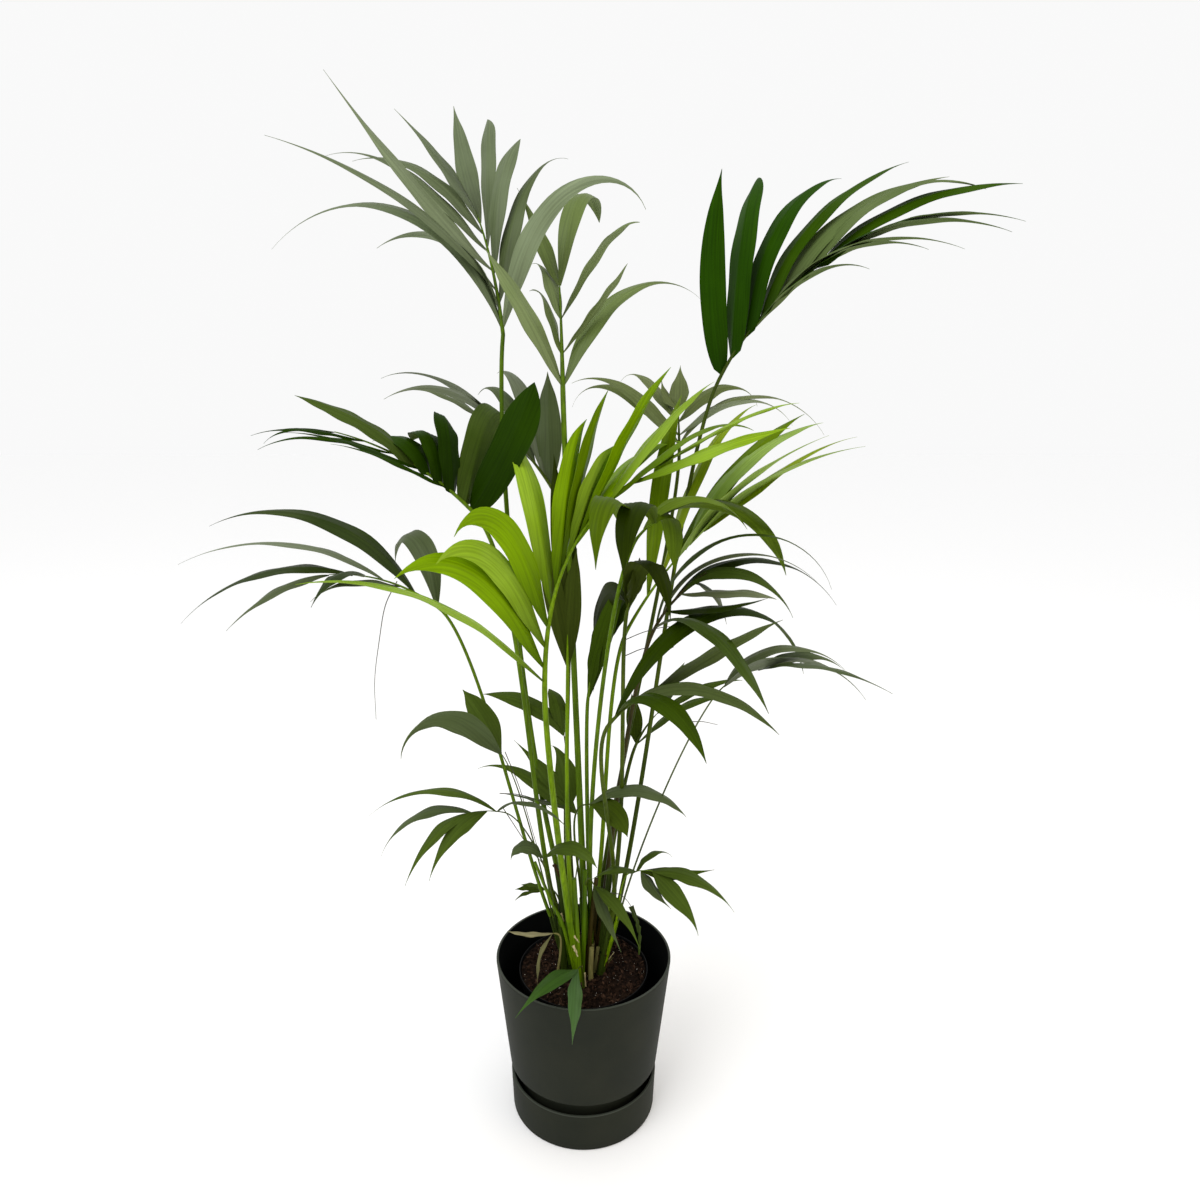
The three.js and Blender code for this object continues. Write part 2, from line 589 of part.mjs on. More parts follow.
// Where the leaflets of one side grow: the place on the rib, their first way and their face's way.
function leafletPlans(frond, side, sideSign, turn, swing) {
  const stations = ribPath(frond);
  const [first, last] = side.span ?? [0.02, 1];
  return Array.from({ length: side.count }, (_, i) => {
    const t = side.count > 1 ? i / (side.count - 1) : 0;
    const ownPlace = THREE.MathUtils.lerp(first, last, t);
    const s = Math.max(ownPlace, Math.min(1, firstLeaflet / frond.rib.length));
    const near = stations[Math.min(Math.floor(s * ribSteps), ribSteps - 1)];
    const root = near.point.clone();
    const way = ribWay(frond.rib, s);
    root.addScaledVector(near.way, (s * ribSteps - stations.indexOf(near)) * frond.rib.length / ribSteps);
    const level = heading(frond.rib.heading + (frond.rib.sweep ?? 0) * s, 0);
    const across = level.cross(up).normalize();
    const above = across.clone().cross(way);
    const spread = radians(along(side.spread, t) + swing);
    const lift = radians(along(side.lift, t) + turn);
    const outward = across.multiplyScalar(sideSign * Math.cos(lift)).addScaledVector(above, Math.sin(lift));
    const start = way.clone().multiplyScalar(Math.cos(spread)).addScaledVector(outward, Math.sin(spread));
    const roll = radians(along(side.roll ?? [0], t)) * sideSign;
    const face = outward.clone().cross(way).multiplyScalar(sideSign).normalize();
    face.applyAxisAngle(start, roll);
    return {
      root,
      start,
      face,
      length: along(side.length, t),
      droop: along(side.droop, t),
      bend: along(side.bend ?? [usualBend], t),
      width: along(side.width ?? [frond.width], t),
    };
  });
}

// How many steps apart the sections are: a bent leaflet needs more of them, a short one fewer.
function sectionStride(plan) {
  if (Math.abs(plan.droop) > bentDroop) {
    return 2;
  }
  return plan.length < shortLength ? 4 : 3;
}

// A leaflet of three-cornered section: two edges and a keel below. It may be swollen all round,
// to test that it keeps its gap.
function leafletSolid(plan, swell) {
  const axis = plan.start.clone().cross(down).normalize();
  const mostDroop = Math.max(plan.start.angleTo(down) - 0.05, 0);
  const thickness = Math.max(leastThickness, plan.length / lengthToThickness);
  const stride = sectionStride(plan);
  const point = plan.root.clone();
  const rings = [];
  for (let step = 0; step <= leafletSteps; step += 1) {
    const t = step / leafletSteps;
    const bendAt = (place) => Math.min(radians(plan.droop) * place ** plan.bend, mostDroop);
    const way = plan.start.clone().applyAxisAngle(axis, bendAt(t));
    const face = plan.face.clone().applyAxisAngle(axis, bendAt(t));
    const across = way.clone().cross(face).normalize();
    if (step === leafletSteps) {
      rings.push([point.clone().addScaledVector(way, swell)]);
    } else if (step % stride === 0) {
      const half = halfWidth(plan.width, t) + swell;
      const keel = thickness * (1 - t / 2) + 2 * swell;
      const middle = point.clone().addScaledVector(face, swell);
      rings.push([
        middle.clone().addScaledVector(across, half),
        middle.clone().addScaledVector(face, -keel),
        middle.clone().addScaledVector(across, -half),
      ]);
    }
    const halfway = bendAt(Math.min(t + 0.5 / leafletSteps, 1));
    point.addScaledVector(plan.start.clone().applyAxisAngle(axis, halfway), plan.length / leafletSteps);
  }
  return skin(rings);
}

// The solids placed so far, each with the name of the frond that it belongs to.
const placed = [];

function place(solid, owner) {
  const { min, max } = solid.boundingBox();
  const box = new THREE.Box3(new THREE.Vector3(...min), new THREE.Vector3(...max));
  placed.push({ solid, owner, box });
}

function isFree(solid, isOwn) {
  const { min, max } = solid.boundingBox();
  const box = new THREE.Box3(new THREE.Vector3(...min), new THREE.Vector3(...max));
  return placed.every((other) => isOwn(other.owner)
    || !box.intersectsBox(other.box)
    || solid.intersect(other.solid).isEmpty());
}

const effort = ({ turn, swing }) => turnCost * Math.abs(turn) + Math.abs(swing);
const otherWays = turns
  .flatMap((turn) => swings.map((swing) => ({ turn, swing })))
  .sort((a, b) => effort(a) - effort(b));

// The leaflets of one frond, each the first of its ways that is free, or left out.
function leafletSolids(frond, isOwn) {
  const solids = [];
  for (const [side, sideSign] of [[frond.left, -1], [frond.right, 1]]) {
    const choices = otherWays.map(({ turn, swing }) => leafletPlans(frond, side, sideSign, turn, swing));
    for (let i = 0; i < side.count; i += 1) {
      const plan = choices.map((plans) => plans[i]).find((p) => isFree(leafletSolid(p, leafletGap), isOwn));
      if (plan) {
        solids.push(leafletSolid(plan, 0));
      }
    }
  }
  return solids;
}

const palm = new THREE.Group();

function addPiece(name, solid, tone) {
  const { color, roughness } = colours[tone];
  const material = new THREE.MeshStandardMaterial({ color, roughness, metalness: 0 });
  const mesh = new THREE.Mesh(geometryOf(solid), material);
  mesh.name = name;
  palm.add(mesh);
}

function addFixed(name, solid, tone) {
  place(solid, name);
  addPiece(name, solid, tone);
}

addFixed('water_tray', waterTray(), 'anthracite');
addFixed('planter', planter(), 'anthracite');
addFixed('nursery_pot', nurseryPot(), 'potBlack');
addFixed('root_ball', rootBall(), 'soil');
for (const [name, stem] of Object.entries(stems)) {
  addFixed(`stem_${name}`, stemSolid(stem), 'stemGreen');
}

for (const [name, frond] of Object.entries(fronds)) {
  addFixed(`petiole_${name}`, petioleSolid(frond, frondRadii, clearance), 'petioleGreen');
  place(ribSolid(frond, frondRadii), `blade_${name}`);
}
for (const [name, leaf] of Object.entries(smallLeaves)) {
  place(fuse([petioleSolid(leaf, smallRadii, 0), ribSolid(leaf, smallRadii)]), `leaf_${name}`);
}

for (const [name, leaf] of Object.entries(smallLeaves)) {
  const node = `leaf_${name}`;
  const leaflets = leafletSolids(leaf, (owner) => owner === node);
  const limbs = [petioleSolid(leaf, smallRadii, 0), ribSolid(leaf, smallRadii)];
  addFixed(node, fuse([...limbs, ...leaflets]), leaf.tone);
}
for (const [name, frond] of Object.entries(fronds)) {
  const node = `blade_${name}`;
  const leaflets = leafletSolids(frond, (owner) => owner === node);
  addFixed(node, fuse([ribSolid(frond, frondRadii), ...leaflets]), frond.tone);
}

export default palm;
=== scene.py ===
# A kentia palm in a round planter: its looks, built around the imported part. The plant's and the
# pot's sizes are in millimetres and degrees, and everything that Blender gets is in metres.
import math
import random

import bpy
import numpy as np
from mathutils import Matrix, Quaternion, Vector


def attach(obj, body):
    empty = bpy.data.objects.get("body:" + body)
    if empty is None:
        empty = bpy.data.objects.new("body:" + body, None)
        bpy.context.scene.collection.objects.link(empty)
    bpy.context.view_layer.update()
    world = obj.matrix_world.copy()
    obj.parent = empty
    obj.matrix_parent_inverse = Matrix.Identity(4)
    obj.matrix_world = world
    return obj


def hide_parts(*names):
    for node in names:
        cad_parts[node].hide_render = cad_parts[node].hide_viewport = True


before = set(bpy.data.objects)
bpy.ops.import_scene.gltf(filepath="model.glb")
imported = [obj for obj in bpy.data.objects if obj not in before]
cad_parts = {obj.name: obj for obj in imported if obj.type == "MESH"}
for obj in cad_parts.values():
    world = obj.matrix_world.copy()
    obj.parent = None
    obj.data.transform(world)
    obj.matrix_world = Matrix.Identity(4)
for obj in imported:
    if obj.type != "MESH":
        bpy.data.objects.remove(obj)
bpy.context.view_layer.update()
bpy.ops.object.select_all(action='DESELECT')
mm = 0.001
up = Vector((0, 0, 1))
down = Vector((0, 0, -1))

# The camera stands in front of the plant, at the height of its upper fronds, and looks down.
view = dict(place=(0, -1.080, 0.977), pitchDown=12.84, lens=26.4, sensor=36, shiftRight=0.01375)
# A white room: the sky does most of the lighting, the key gives the leaves a lit side and the
# fill warms the right of the pot.
studio = dict(
    floorHex='#ffffff', floorSize=30, skyHex='#ffffff', skyStrength=0.95,
    key=dict(place=(-1.6, -1.9, 3.2), aim=(0, 0, 0.75), size=2.2, watts=60, hexCode='#ffffff'),
    fill=dict(place=(2.4, -1.2, 1.6), aim=(0, 0, 0.7), size=2.0, watts=14, hexCode='#ffe6c4'),
)

bpy.ops.object.camera_add(location=view['place'],
                          rotation=(math.radians(90 - view['pitchDown']), 0, 0))
camera = bpy.context.object
camera.name = 'camera'
camera.data.lens = view['lens']
camera.data.sensor_width = view['sensor']
camera.data.shift_x = view['shiftRight']
bpy.context.scene.camera = camera


def linearColour(hexCode):
    channels = [int(hexCode[i:i + 2], 16) / 255 for i in (1, 3, 5)]
    linear = [c / 12.92 if c <= 0.04045 else ((c + 0.055) / 1.055) ** 2.4 for c in channels]
    return (*linear, 1.0)


def areaLight(name, place, aim, size, watts, hexCode):
    bpy.ops.object.light_add(type='AREA', location=place)
    lamp = bpy.context.object
    lamp.name = name
    lamp.data.size = size
    lamp.data.energy = watts
    lamp.data.color = linearColour(hexCode)[:3]
    lamp.rotation_euler = (Vector(aim) - Vector(place)).to_track_quat('-Z', 'Y').to_euler()


areaLight('keyLight', **studio['key'])
areaLight('fillLight', **studio['fill'])

world = bpy.data.worlds.new('studio')
bpy.context.scene.world = world
world.use_nodes = True
sky = world.node_tree.nodes['Background']
sky.inputs['Color'].default_value = linearColour(studio['skyHex'])
sky.inputs['Strength'].default_value = studio['skyStrength']
bpy.context.scene.view_settings.view_transform = 'Standard'
print('camera and light are set')


def feed(tree, node, inputs):
    # an input is a plain value or another node's output
    for name, value in inputs.items():
        if isinstance(value, bpy.types.NodeSocket):
            tree.links.new(value, node.inputs[name])
        else:
            node.inputs[name].default_value = value


def addNode(tree, kind, inputs, **settings):
    node = tree.nodes.new('ShaderNode' + kind)
    for name, value in settings.items():
        setattr(node, name, value)
    feed(tree, node, inputs)
    return node


def newMaterial(name, roughness, ior=1.45, specular=0.5):
    material = bpy.data.materials.new(name)
    material.use_nodes = True
    tree = material.node_tree
    shader = tree.nodes['Principled BSDF']
    feed(tree, shader, {'Roughness': roughness, 'IOR': ior, 'Specular IOR Level': specular})
    return material, tree, shader


def noise(tree, coords, scale, detail, rough=0.5):
    node = addNode(tree, 'TexNoise', dict(Vector=coords, Scale=scale, Detail=detail, Roughness=rough))
    return node.outputs['Fac']


def ramp(tree, value, *stops):
    node = addNode(tree, 'ValToRGB', dict(Fac=value))
    elements = node.color_ramp.elements
    while len(elements) < len(stops):
        elements.new(0.5)
    for element, (place, hexCode) in zip(elements, stops):
        element.position = place
        element.color = linearColour(hexCode)
    return node.outputs['Color']


def multiplied(tree, first, second):
    node = addNode(tree, 'Mix', {0: 1.0, 6: first, 7: second}, data_type='RGBA', blend_type='MULTIPLY')
    return node.outputs[2]


def mapRange(tree, value, low, high, whole=1.0):
    inputs = {'Value': value, 'From Max': whole, 'To Min': low, 'To Max': high}
    return addNode(tree, 'MapRange', inputs).outputs['Result']


def stretched(tree, coords, scale):
    return addNode(tree, 'Mapping', dict(Vector=coords, Scale=scale)).outputs['Vector']


def bump(tree, height, strength, distance):
    node = addNode(tree, 'Bump', dict(Height=height, Strength=strength, Distance=distance))
    return node.outputs['Normal']


def objectCoords(tree):
    return addNode(tree, 'TexCoord', {}).outputs['Object']


# Injection-moulded polypropylene, matt: a fine spark-eroded grain breaks up the highlight, and a
# faint cloudiness keeps a large plain wall from looking painted.
def makeMouldedPlastic(name, base, cloud, roughness, specular, grain=2600, grainDepth=0.00012):
    material, tree, shader = newMaterial(name, roughness, 1.49, specular)
    coords = objectCoords(tree)
    erosion = noise(tree, coords, grain, 2)
    feed(tree, shader, {
        'Base Color': ramp(tree, noise(tree, coords, 14, 4), (0.35, base), (0.75, cloud)),
        'Roughness': mapRange(tree, erosion, roughness - 0.06, roughness + 0.08),
        'Normal': bump(tree, erosion, 0.35, grainDepth)})
    return material


plastic = makeMouldedPlastic('moulded_polypropylene', '#1f221b', '#26281f', 0.6, 0.07)
# The planter's inside is the same plastic in deep shade.
plasticInside = makeMouldedPlastic('moulded_polypropylene_inside', '#040505', '#070808', 0.7, 0.05)
# Painted highlight along the rim: its plastic is a little paler than the wall below it, for the light that
# its edge catches, and glossier.
plasticRimHighlight = makeMouldedPlastic('moulded_polypropylene_rim_highlight', '#33372f', '#3c4038', 0.5, 0.15)
# The thin pot is drawn from sheet, so its grain is coarser and shallower.
potPlastic = makeMouldedPlastic('thermoformed_polystyrene', '#060606', '#0a0a0a', 0.5, 0.12, 900, 0.0001)


# Peat and bark compost: dark fibres with lighter crumbs, dry and without any gloss.
def makePeat(name, dark, mid, light):
    material, tree, shader = newMaterial(name, 0.95, 1.33, 0.1)
    coords = objectCoords(tree)
    crumbs = noise(tree, coords, 190, 8, 0.65)
    feed(tree, shader, {
        'Base Color': ramp(tree, crumbs, (0.36, dark), (0.52, mid), (0.72, light)),
        'Normal': bump(tree, noise(tree, coords, 420, 6, 0.7), 0.8, 0.0012)})
    return material


soil = makePeat('peat_compost', '#0a0604', '#1d130d', '#3a2a1f')
bark = makePeat('bark_crumbs', '#1a110b', '#38271d', '#5c4536')
perlite = makePeat('perlite_grains', '#8f897e', '#b7b2a8', '#d9d5cc')

# A palm leaflet's skin: waxy, with parallel veins along it that catch the light as fine lines.
# Each leaflet's UV runs in millimetres across and along it, so the veins keep their real spacing.
leafSkin = dict(veinsPerMm=0.5, veinStretch=0.018, veinShade='#d2d2d2', veinBump=0.06,
                veinDepth=0.0002, patches=11, footLength=110)


def makeLeaf(name, dark, light, foot, specular, roughness):
    material, tree, shader = newMaterial(name, roughness, 1.42, specular)
    leafMap = addNode(tree, 'UVMap', {}, uv_map='leaf').outputs['UV']
    lengthways = stretched(tree, leafMap, (1, leafSkin['veinStretch'], 1))
    veins = noise(tree, lengthways, leafSkin['veinsPerMm'], 2, 0.55)
    patches = noise(tree, objectCoords(tree), leafSkin['patches'], 3)
    broad = ramp(tree, patches, (0.3, dark), (0.7, light))
    streaks = ramp(tree, veins, (0.3, leafSkin['veinShade']), (0.7, '#ffffff'))
    # painted shade: the foot of a leaflet, where it comes out of the fold at the rib, is darker for the
    # shade that falls there
    alongLeaf = addNode(tree, 'SeparateXYZ', {0: leafMap}).outputs['Y']
    fromFoot = mapRange(tree, alongLeaf, 0.0, 1.0, leafSkin['footLength'])
    footShade = ramp(tree, fromFoot, (0.0, foot), (1.0, '#ffffff'))
    feed(tree, shader, {
        'Base Color': multiplied(tree, multiplied(tree, broad, streaks), footShade),
        'Roughness': mapRange(tree, veins, roughness - 0.08, roughness + 0.1),
        'Normal': bump(tree, veins, leafSkin['veinBump'], leafSkin['veinDepth'])})
    return material


# Leaf greens by age and place: the middle, shaded and lit tone, each as the dark and light green
# that mottle one leaflet, then the wax's sheen and roughness. Each leaflet takes one of the tones.
leafGreens = {
    'greyGreen': ('#5c6946 #6b7856', '#4d5a34 #5c6a42', '#707d5a #7f8c6a', 0.22, 0.45),
    'oliveGrey': ('#607236 #6d7f46', '#4e6029 #5c6d34', '#738450 #7f8e5e', 0.2, 0.45),
    'sheenGreen': ('#2c4a00 #3a5808', '#1e3e00 #284c00', '#5a6c3a #68784a', 0.03, 0.5),
    'deepGreen': ('#233c00 #2c4802', '#1b3200 #243e00', '#3e5216 #4c5e26', 0.03, 0.42),
    'paleGreen': ('#707d48 #7c8956', '#647238 #6e7c42', '#828f68 #8e9a78', 0.2, 0.45),
    'youngGreen': ('#749600 #82a800', '#5a7600 #688800', '#86a814 #94b436', 0.06, 0.4),
    'fanGreen': ('#809808 #8ea420', '#5e7a00 #6e8a04', '#8eac48 #9cba64', 0.1, 0.4),
    'oliveDark': ('#415800 #4e6408', '#202c00 #2c3c00', '#5a7210 #688024', 0.04, 0.42),
    'darkGreen': ('#1e2800 #2a3602', '#182000 #222a00', '#34400a #424e18', 0.03, 0.44),
    'sideGreen': ('#384a12 #465820', '#202e00 #2a380a', '#646c4c #727a5a', 0.08, 0.42),
    'slateGreen': ('#5a6640 #66724c', '#46542c #526038', '#667054 #727a62', 0.2, 0.45),
    'rimGreen': ('#38581c #44662a', '#2c4a10 #38581c', '#4a6c34 #5a7e4a', 0.12, 0.42),
    'shadeGreen': ('#4a5634 #586442', '#2a3a10 #3a481e', '#6a7658 #7a8468', 0.12, 0.44),
    'lowGreen': ('#304402 #3c500e', '#283a00 #304400', '#4a5826 #58663a', 0.03, 0.44),
    'smallGreen': ('#465a18 #526624', '#384a04 #445610', '#4c5a30 #5a6844', 0.05, 0.44),
    'dried': ('#6e6c44 #8a875e', '#4c4a2c #6a683f', '#908b66 #a8a07a', 0.12, 0.7),
}
# How dark the painted shade at a leaflet's foot is: the young greens take a deeper one than the rest.
footShades = {'youngGreen': '#8c9468'}
leaves = {}
for name, (middle, shaded, lit, specular, roughness) in leafGreens.items():
    for part, tones in (('middle', middle), ('shaded', shaded), ('lit', lit)):
        leaves[name, part] = makeLeaf(name + '_' + part, *tones.split(), footShades.get(name, '#d4d4cc'),
                                      specular, roughness)


# A petiole or cane: a smooth green skin with darker streaks along its length.
def makeStalk(name, dark, light, specular, roughness):
    material, tree, shader = newMaterial(name, roughness, 1.42, specular)
    coords = objectCoords(tree)
    streaks = noise(tree, stretched(tree, coords, (1, 1, 0.06)), 420, 3, 0.6)
    broad = ramp(tree, noise(tree, coords, 9, 2), (0.3, dark), (0.7, light))
    shade = ramp(tree, streaks, (0.3, '#b8b8b8'), (0.7, '#ffffff'))
    feed(tree, shader, {'Base Color': multiplied(tree, broad, shade),
                        'Normal': bump(tree, streaks, 0.4, 0.0004)})
    return material


# Skins of canes, petioles, sheaths and threads: dark and light tone, sheen and roughness.
stalkSkins = {
    'caneBright': ('#4a6a00', '#6b8a06', 0.14, 0.42),
    'caneGreen': ('#3c5a00', '#557404', 0.12, 0.42),
    'caneOlive': ('#27360a', '#3a4a12', 0.1, 0.48),
    'caneBrown': ('#2c2408', '#4a4014', 0.1, 0.5),
    'petioleGreen': ('#486404', '#62800c', 0.12, 0.42),
    'petioleDark': ('#364608', '#4f6014', 0.1, 0.45),
    'petioleBrown': ('#2e2a10', '#4a4420', 0.1, 0.5),
    'petioleYoung': ('#5a7a00', '#7a9a08', 0.12, 0.4),
    'petioleGrey': ('#4c5a30', '#626e44', 0.15, 0.5),
    'sheathBrown': ('#2a1c0e', '#4e3a20', 0.08, 0.85),
    'sheathTan': ('#6a6434', '#8f8a54', 0.1, 0.8),
    'fibrePale': ('#b0a070', '#d8cc9c', 0.1, 0.85),
    'threadGrey': ('#3a3a30', '#5a584a', 0.08, 0.8),
}
stalks = {name: makeStalk(name, *skin) for name, skin in stalkSkins.items()}
print('materials are made')


def finish(piece, nodes, slotName, *materials):
    for material in materials:
        piece.data.materials.append(material)
    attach(piece, 'root')
    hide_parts(*nodes)


# A turned wall, spun from its outline of (radius, height) in millimetres.
def spun(name, outline, steps=128):
    bpy.ops.object.select_all(action='DESELECT')
    bpy.ops.mesh.primitive_plane_add(size=0.01)
    piece = bpy.context.object
    piece.name = name
    bpy.ops.object.mode_set(mode='EDIT')
    bpy.ops.mesh.select_all(action='SELECT')
    bpy.ops.mesh.merge(type='CENTER')
    bpy.ops.transform.translate(value=(outline[0][0] * mm, 0, outline[0][1] * mm))
    for (r0, z0), (r1, z1) in zip(outline, outline[1:]):
        bpy.ops.mesh.extrude_region_move(
            TRANSFORM_OT_translate={'value': ((r1 - r0) * mm, 0, (z1 - z0) * mm)})
    bpy.ops.mesh.select_all(action='SELECT')
    bpy.ops.mesh.spin(steps=steps, angle=2 * math.pi, center=(0, 0, 0), axis=(0, 0, 1))
    bpy.ops.mesh.select_all(action='SELECT')
    bpy.ops.mesh.remove_doubles(threshold=0.00001)
    bpy.ops.mesh.normals_make_consistent(inside=False)
    bpy.ops.object.mode_set(mode='OBJECT')
    return piece


def softened(piece, width, angle=30):
    bpy.context.view_layer.objects.active = piece
    edges = piece.modifiers.new('edges', 'BEVEL')
    edges.width = width * mm
    edges.segments = 3
    edges.limit_method = 'ANGLE'
    edges.angle_limit = math.radians(angle)
    bpy.ops.object.modifier_apply(modifier='edges')
    bpy.ops.object.shade_smooth_by_angle(angle=math.radians(35))


def shadeInside(piece, wallFoot, wallTop, lip):
    # faces that look inwards between the two heights take the painted shade, and those above the lip the
    # painted highlight
    for face in piece.data.polygons:
        height = face.center.z / mm
        inward = face.normal.dot(Vector((face.center.x, face.center.y, 0))) < 0
        if inward and wallFoot < height < wallTop:
            face.material_index = 1
        elif height > lip:
            face.material_index = 2


planterSize = dict(rim=120, height=230, coneFoot=103, coneFootHeight=73, neck=90, neckTaper=5,
                   neckFoot=4.3, wall=3, floor=4, edge=0.6, bandFoot=4, bandTop=2.6, bandDepth=0.2)


def planterOutline(rim, height, coneFoot, coneFootHeight, neck, neckTaper, neckFoot, wall, floor, edge,
                   bandFoot, bandTop, bandDepth):
    return [
        (0, coneFootHeight), (neck - wall, coneFootHeight), (neck - wall - neckTaper, neckFoot),
        (neck - neckTaper, neckFoot), (neck, coneFootHeight), (coneFoot - edge, coneFootHeight),
        (coneFoot, coneFootHeight + edge), (rim - bandDepth, height - bandFoot), (rim, height - bandTop),
        (rim, height), (rim - wall, height), (coneFoot - wall, coneFootHeight + floor),
        (0, coneFootHeight + floor),
    ]


planter = spun('planter', planterOutline(**planterSize))
softened(planter, 0.8)
finish(planter, ['planter'], 'anthracite_plastic', plastic, plasticInside, plasticRimHighlight)
shadeInside(planter, planterSize['coneFootHeight'] + planterSize['floor'], planterSize['height'] - 2,
            planterSize['height'] - 1.2)

traySize = dict(top=102, foot=100, height=55, wall=4, floor=4, lipEdge=0.6, lipDrop=1.4)
footRound = [(3, 0), (1.3, 0.4), (0.4, 1.3), (0, 3)]  # inset and height of the rounded foot


def trayOutline(top, foot, height, wall, floor, lipEdge, lipDrop):
    return [
        (0, 0), *((foot - inset, rise) for inset, rise in footRound),
        (top, height - lipDrop), (top - lipEdge, height), (top - wall + lipEdge, height),
        (top - wall, height - lipDrop), (foot - wall, floor), (0, floor),
    ]


tray = spun('waterTray', trayOutline(**traySize))
softened(tray, 0.6, 20)
finish(tray, ['water_tray'], 'anthracite_plastic', plastic, plasticInside, plasticRimHighlight)
shadeInside(tray, traySize['floor'] / 2, traySize['height'] - 1, traySize['height'] - 1)

nurserySize = dict(rim=89, rimHeight=208.5, foot=66, footHeight=77.3, wall=1.2, bead=1.4, beadHeight=8)


def nurseryOutline(rim, rimHeight, foot, footHeight, wall, bead, beadHeight):
    return [
        (0, footHeight), (foot, footHeight), (rim - bead, rimHeight - beadHeight - 1),
        (rim, rimHeight - beadHeight), (rim, rimHeight), (rim - wall, rimHeight),
        (foot - wall, footHeight + wall), (0, footHeight + wall),
    ]


nursery = spun('nurseryPot', nurseryOutline(**nurserySize))
softened(nursery, 0.3)
finish(nursery, ['nursery_pot'], 'black_plastic', potPlastic)
print('the pot is turned')

# Compost: a plug as the thin pot shaped it, with its top worked into lumps of three sizes, each
# given as how wide and how deep they are.
compostSize = dict(height=205, foot=78.8, topRadius=86, footRadius=64.5, sides=96, rings=22,
                   ringReach=85, loose=84, topBand=5, lumps=((35, 5.0), (8, 3.4), (2.8, 1.8)), sunk=0.55)


def buildCompost(height, foot, topRadius, footRadius, sides, rings, ringReach, loose, topBand, lumps, sunk):
    bpy.ops.object.select_all(action='DESELECT')
    bpy.ops.mesh.primitive_cone_add(vertices=sides, radius1=footRadius * mm, radius2=topRadius * mm,
                                    depth=(height - foot) * mm,
                                    location=(0, 0, (height + foot) / 2 * mm))
    plug = bpy.context.object
    plug.name = 'compost'
    bpy.ops.object.transform_apply(location=True, rotation=True, scale=True)
    bpy.ops.object.mode_set(mode='EDIT')
    bpy.ops.mesh.select_all(action='DESELECT')
    bpy.ops.object.mode_set(mode='OBJECT')
    for face in plug.data.polygons:
        face.select = face.normal.z > 0.9
    bpy.ops.object.mode_set(mode='EDIT')
    for ring in range(rings):
        bpy.ops.mesh.inset(thickness=ringReach / (rings + 0.2) * mm, depth=0)
    bpy.ops.mesh.merge(type='CENTER')
    bpy.ops.object.mode_set(mode='OBJECT')
    top = plug.vertex_groups.new(name='top')
    for vertex in plug.data.vertices:
        reach = math.hypot(vertex.co.x, vertex.co.y)
        if vertex.co.z > (height - topBand) * mm and reach < loose * mm:
            top.add([vertex.index], 1.0, 'REPLACE')
    for width, depth in lumps:
        clouds = bpy.data.textures.new('lumps', 'CLOUDS')
        clouds.noise_scale = width * mm
        clouds.noise_depth = 3
        relief = plug.modifiers.new('relief', 'DISPLACE')
        relief.texture = clouds
        relief.texture_coords = 'LOCAL'
        relief.direction = 'Z'
        relief.vertex_group = 'top'
        relief.strength = depth * mm
        relief.mid_level = sunk
        bpy.ops.object.modifier_apply(modifier='relief')
    bpy.ops.object.shade_smooth()
    return plug


compost = buildCompost(**compostSize)
finish(compost, ['root_ball'], 'potting_soil', soil)
print('the compost is in')

# The plant's measures: stems from foot to top, and the fronds that their petioles carry.
soilTop = 205.3
petioleCircle = 7  # petioles stand in a circle of this radius on their stem's top
stems = {
    'left': [(-19, -8, 205), (-38, -14, 295)],
    'front': [(-4, -20, 205), (-16, -34, 305)],
    'back': [(-9, 9, 205), (-18, 18, 300)],
    'middle': [(8, -4, 205), (4, -4, 315)],
    'right_back': [(12, 14, 205), (24, 22, 305)],
    'right': [(23, -10, 205), (40, -16, 290)],
}

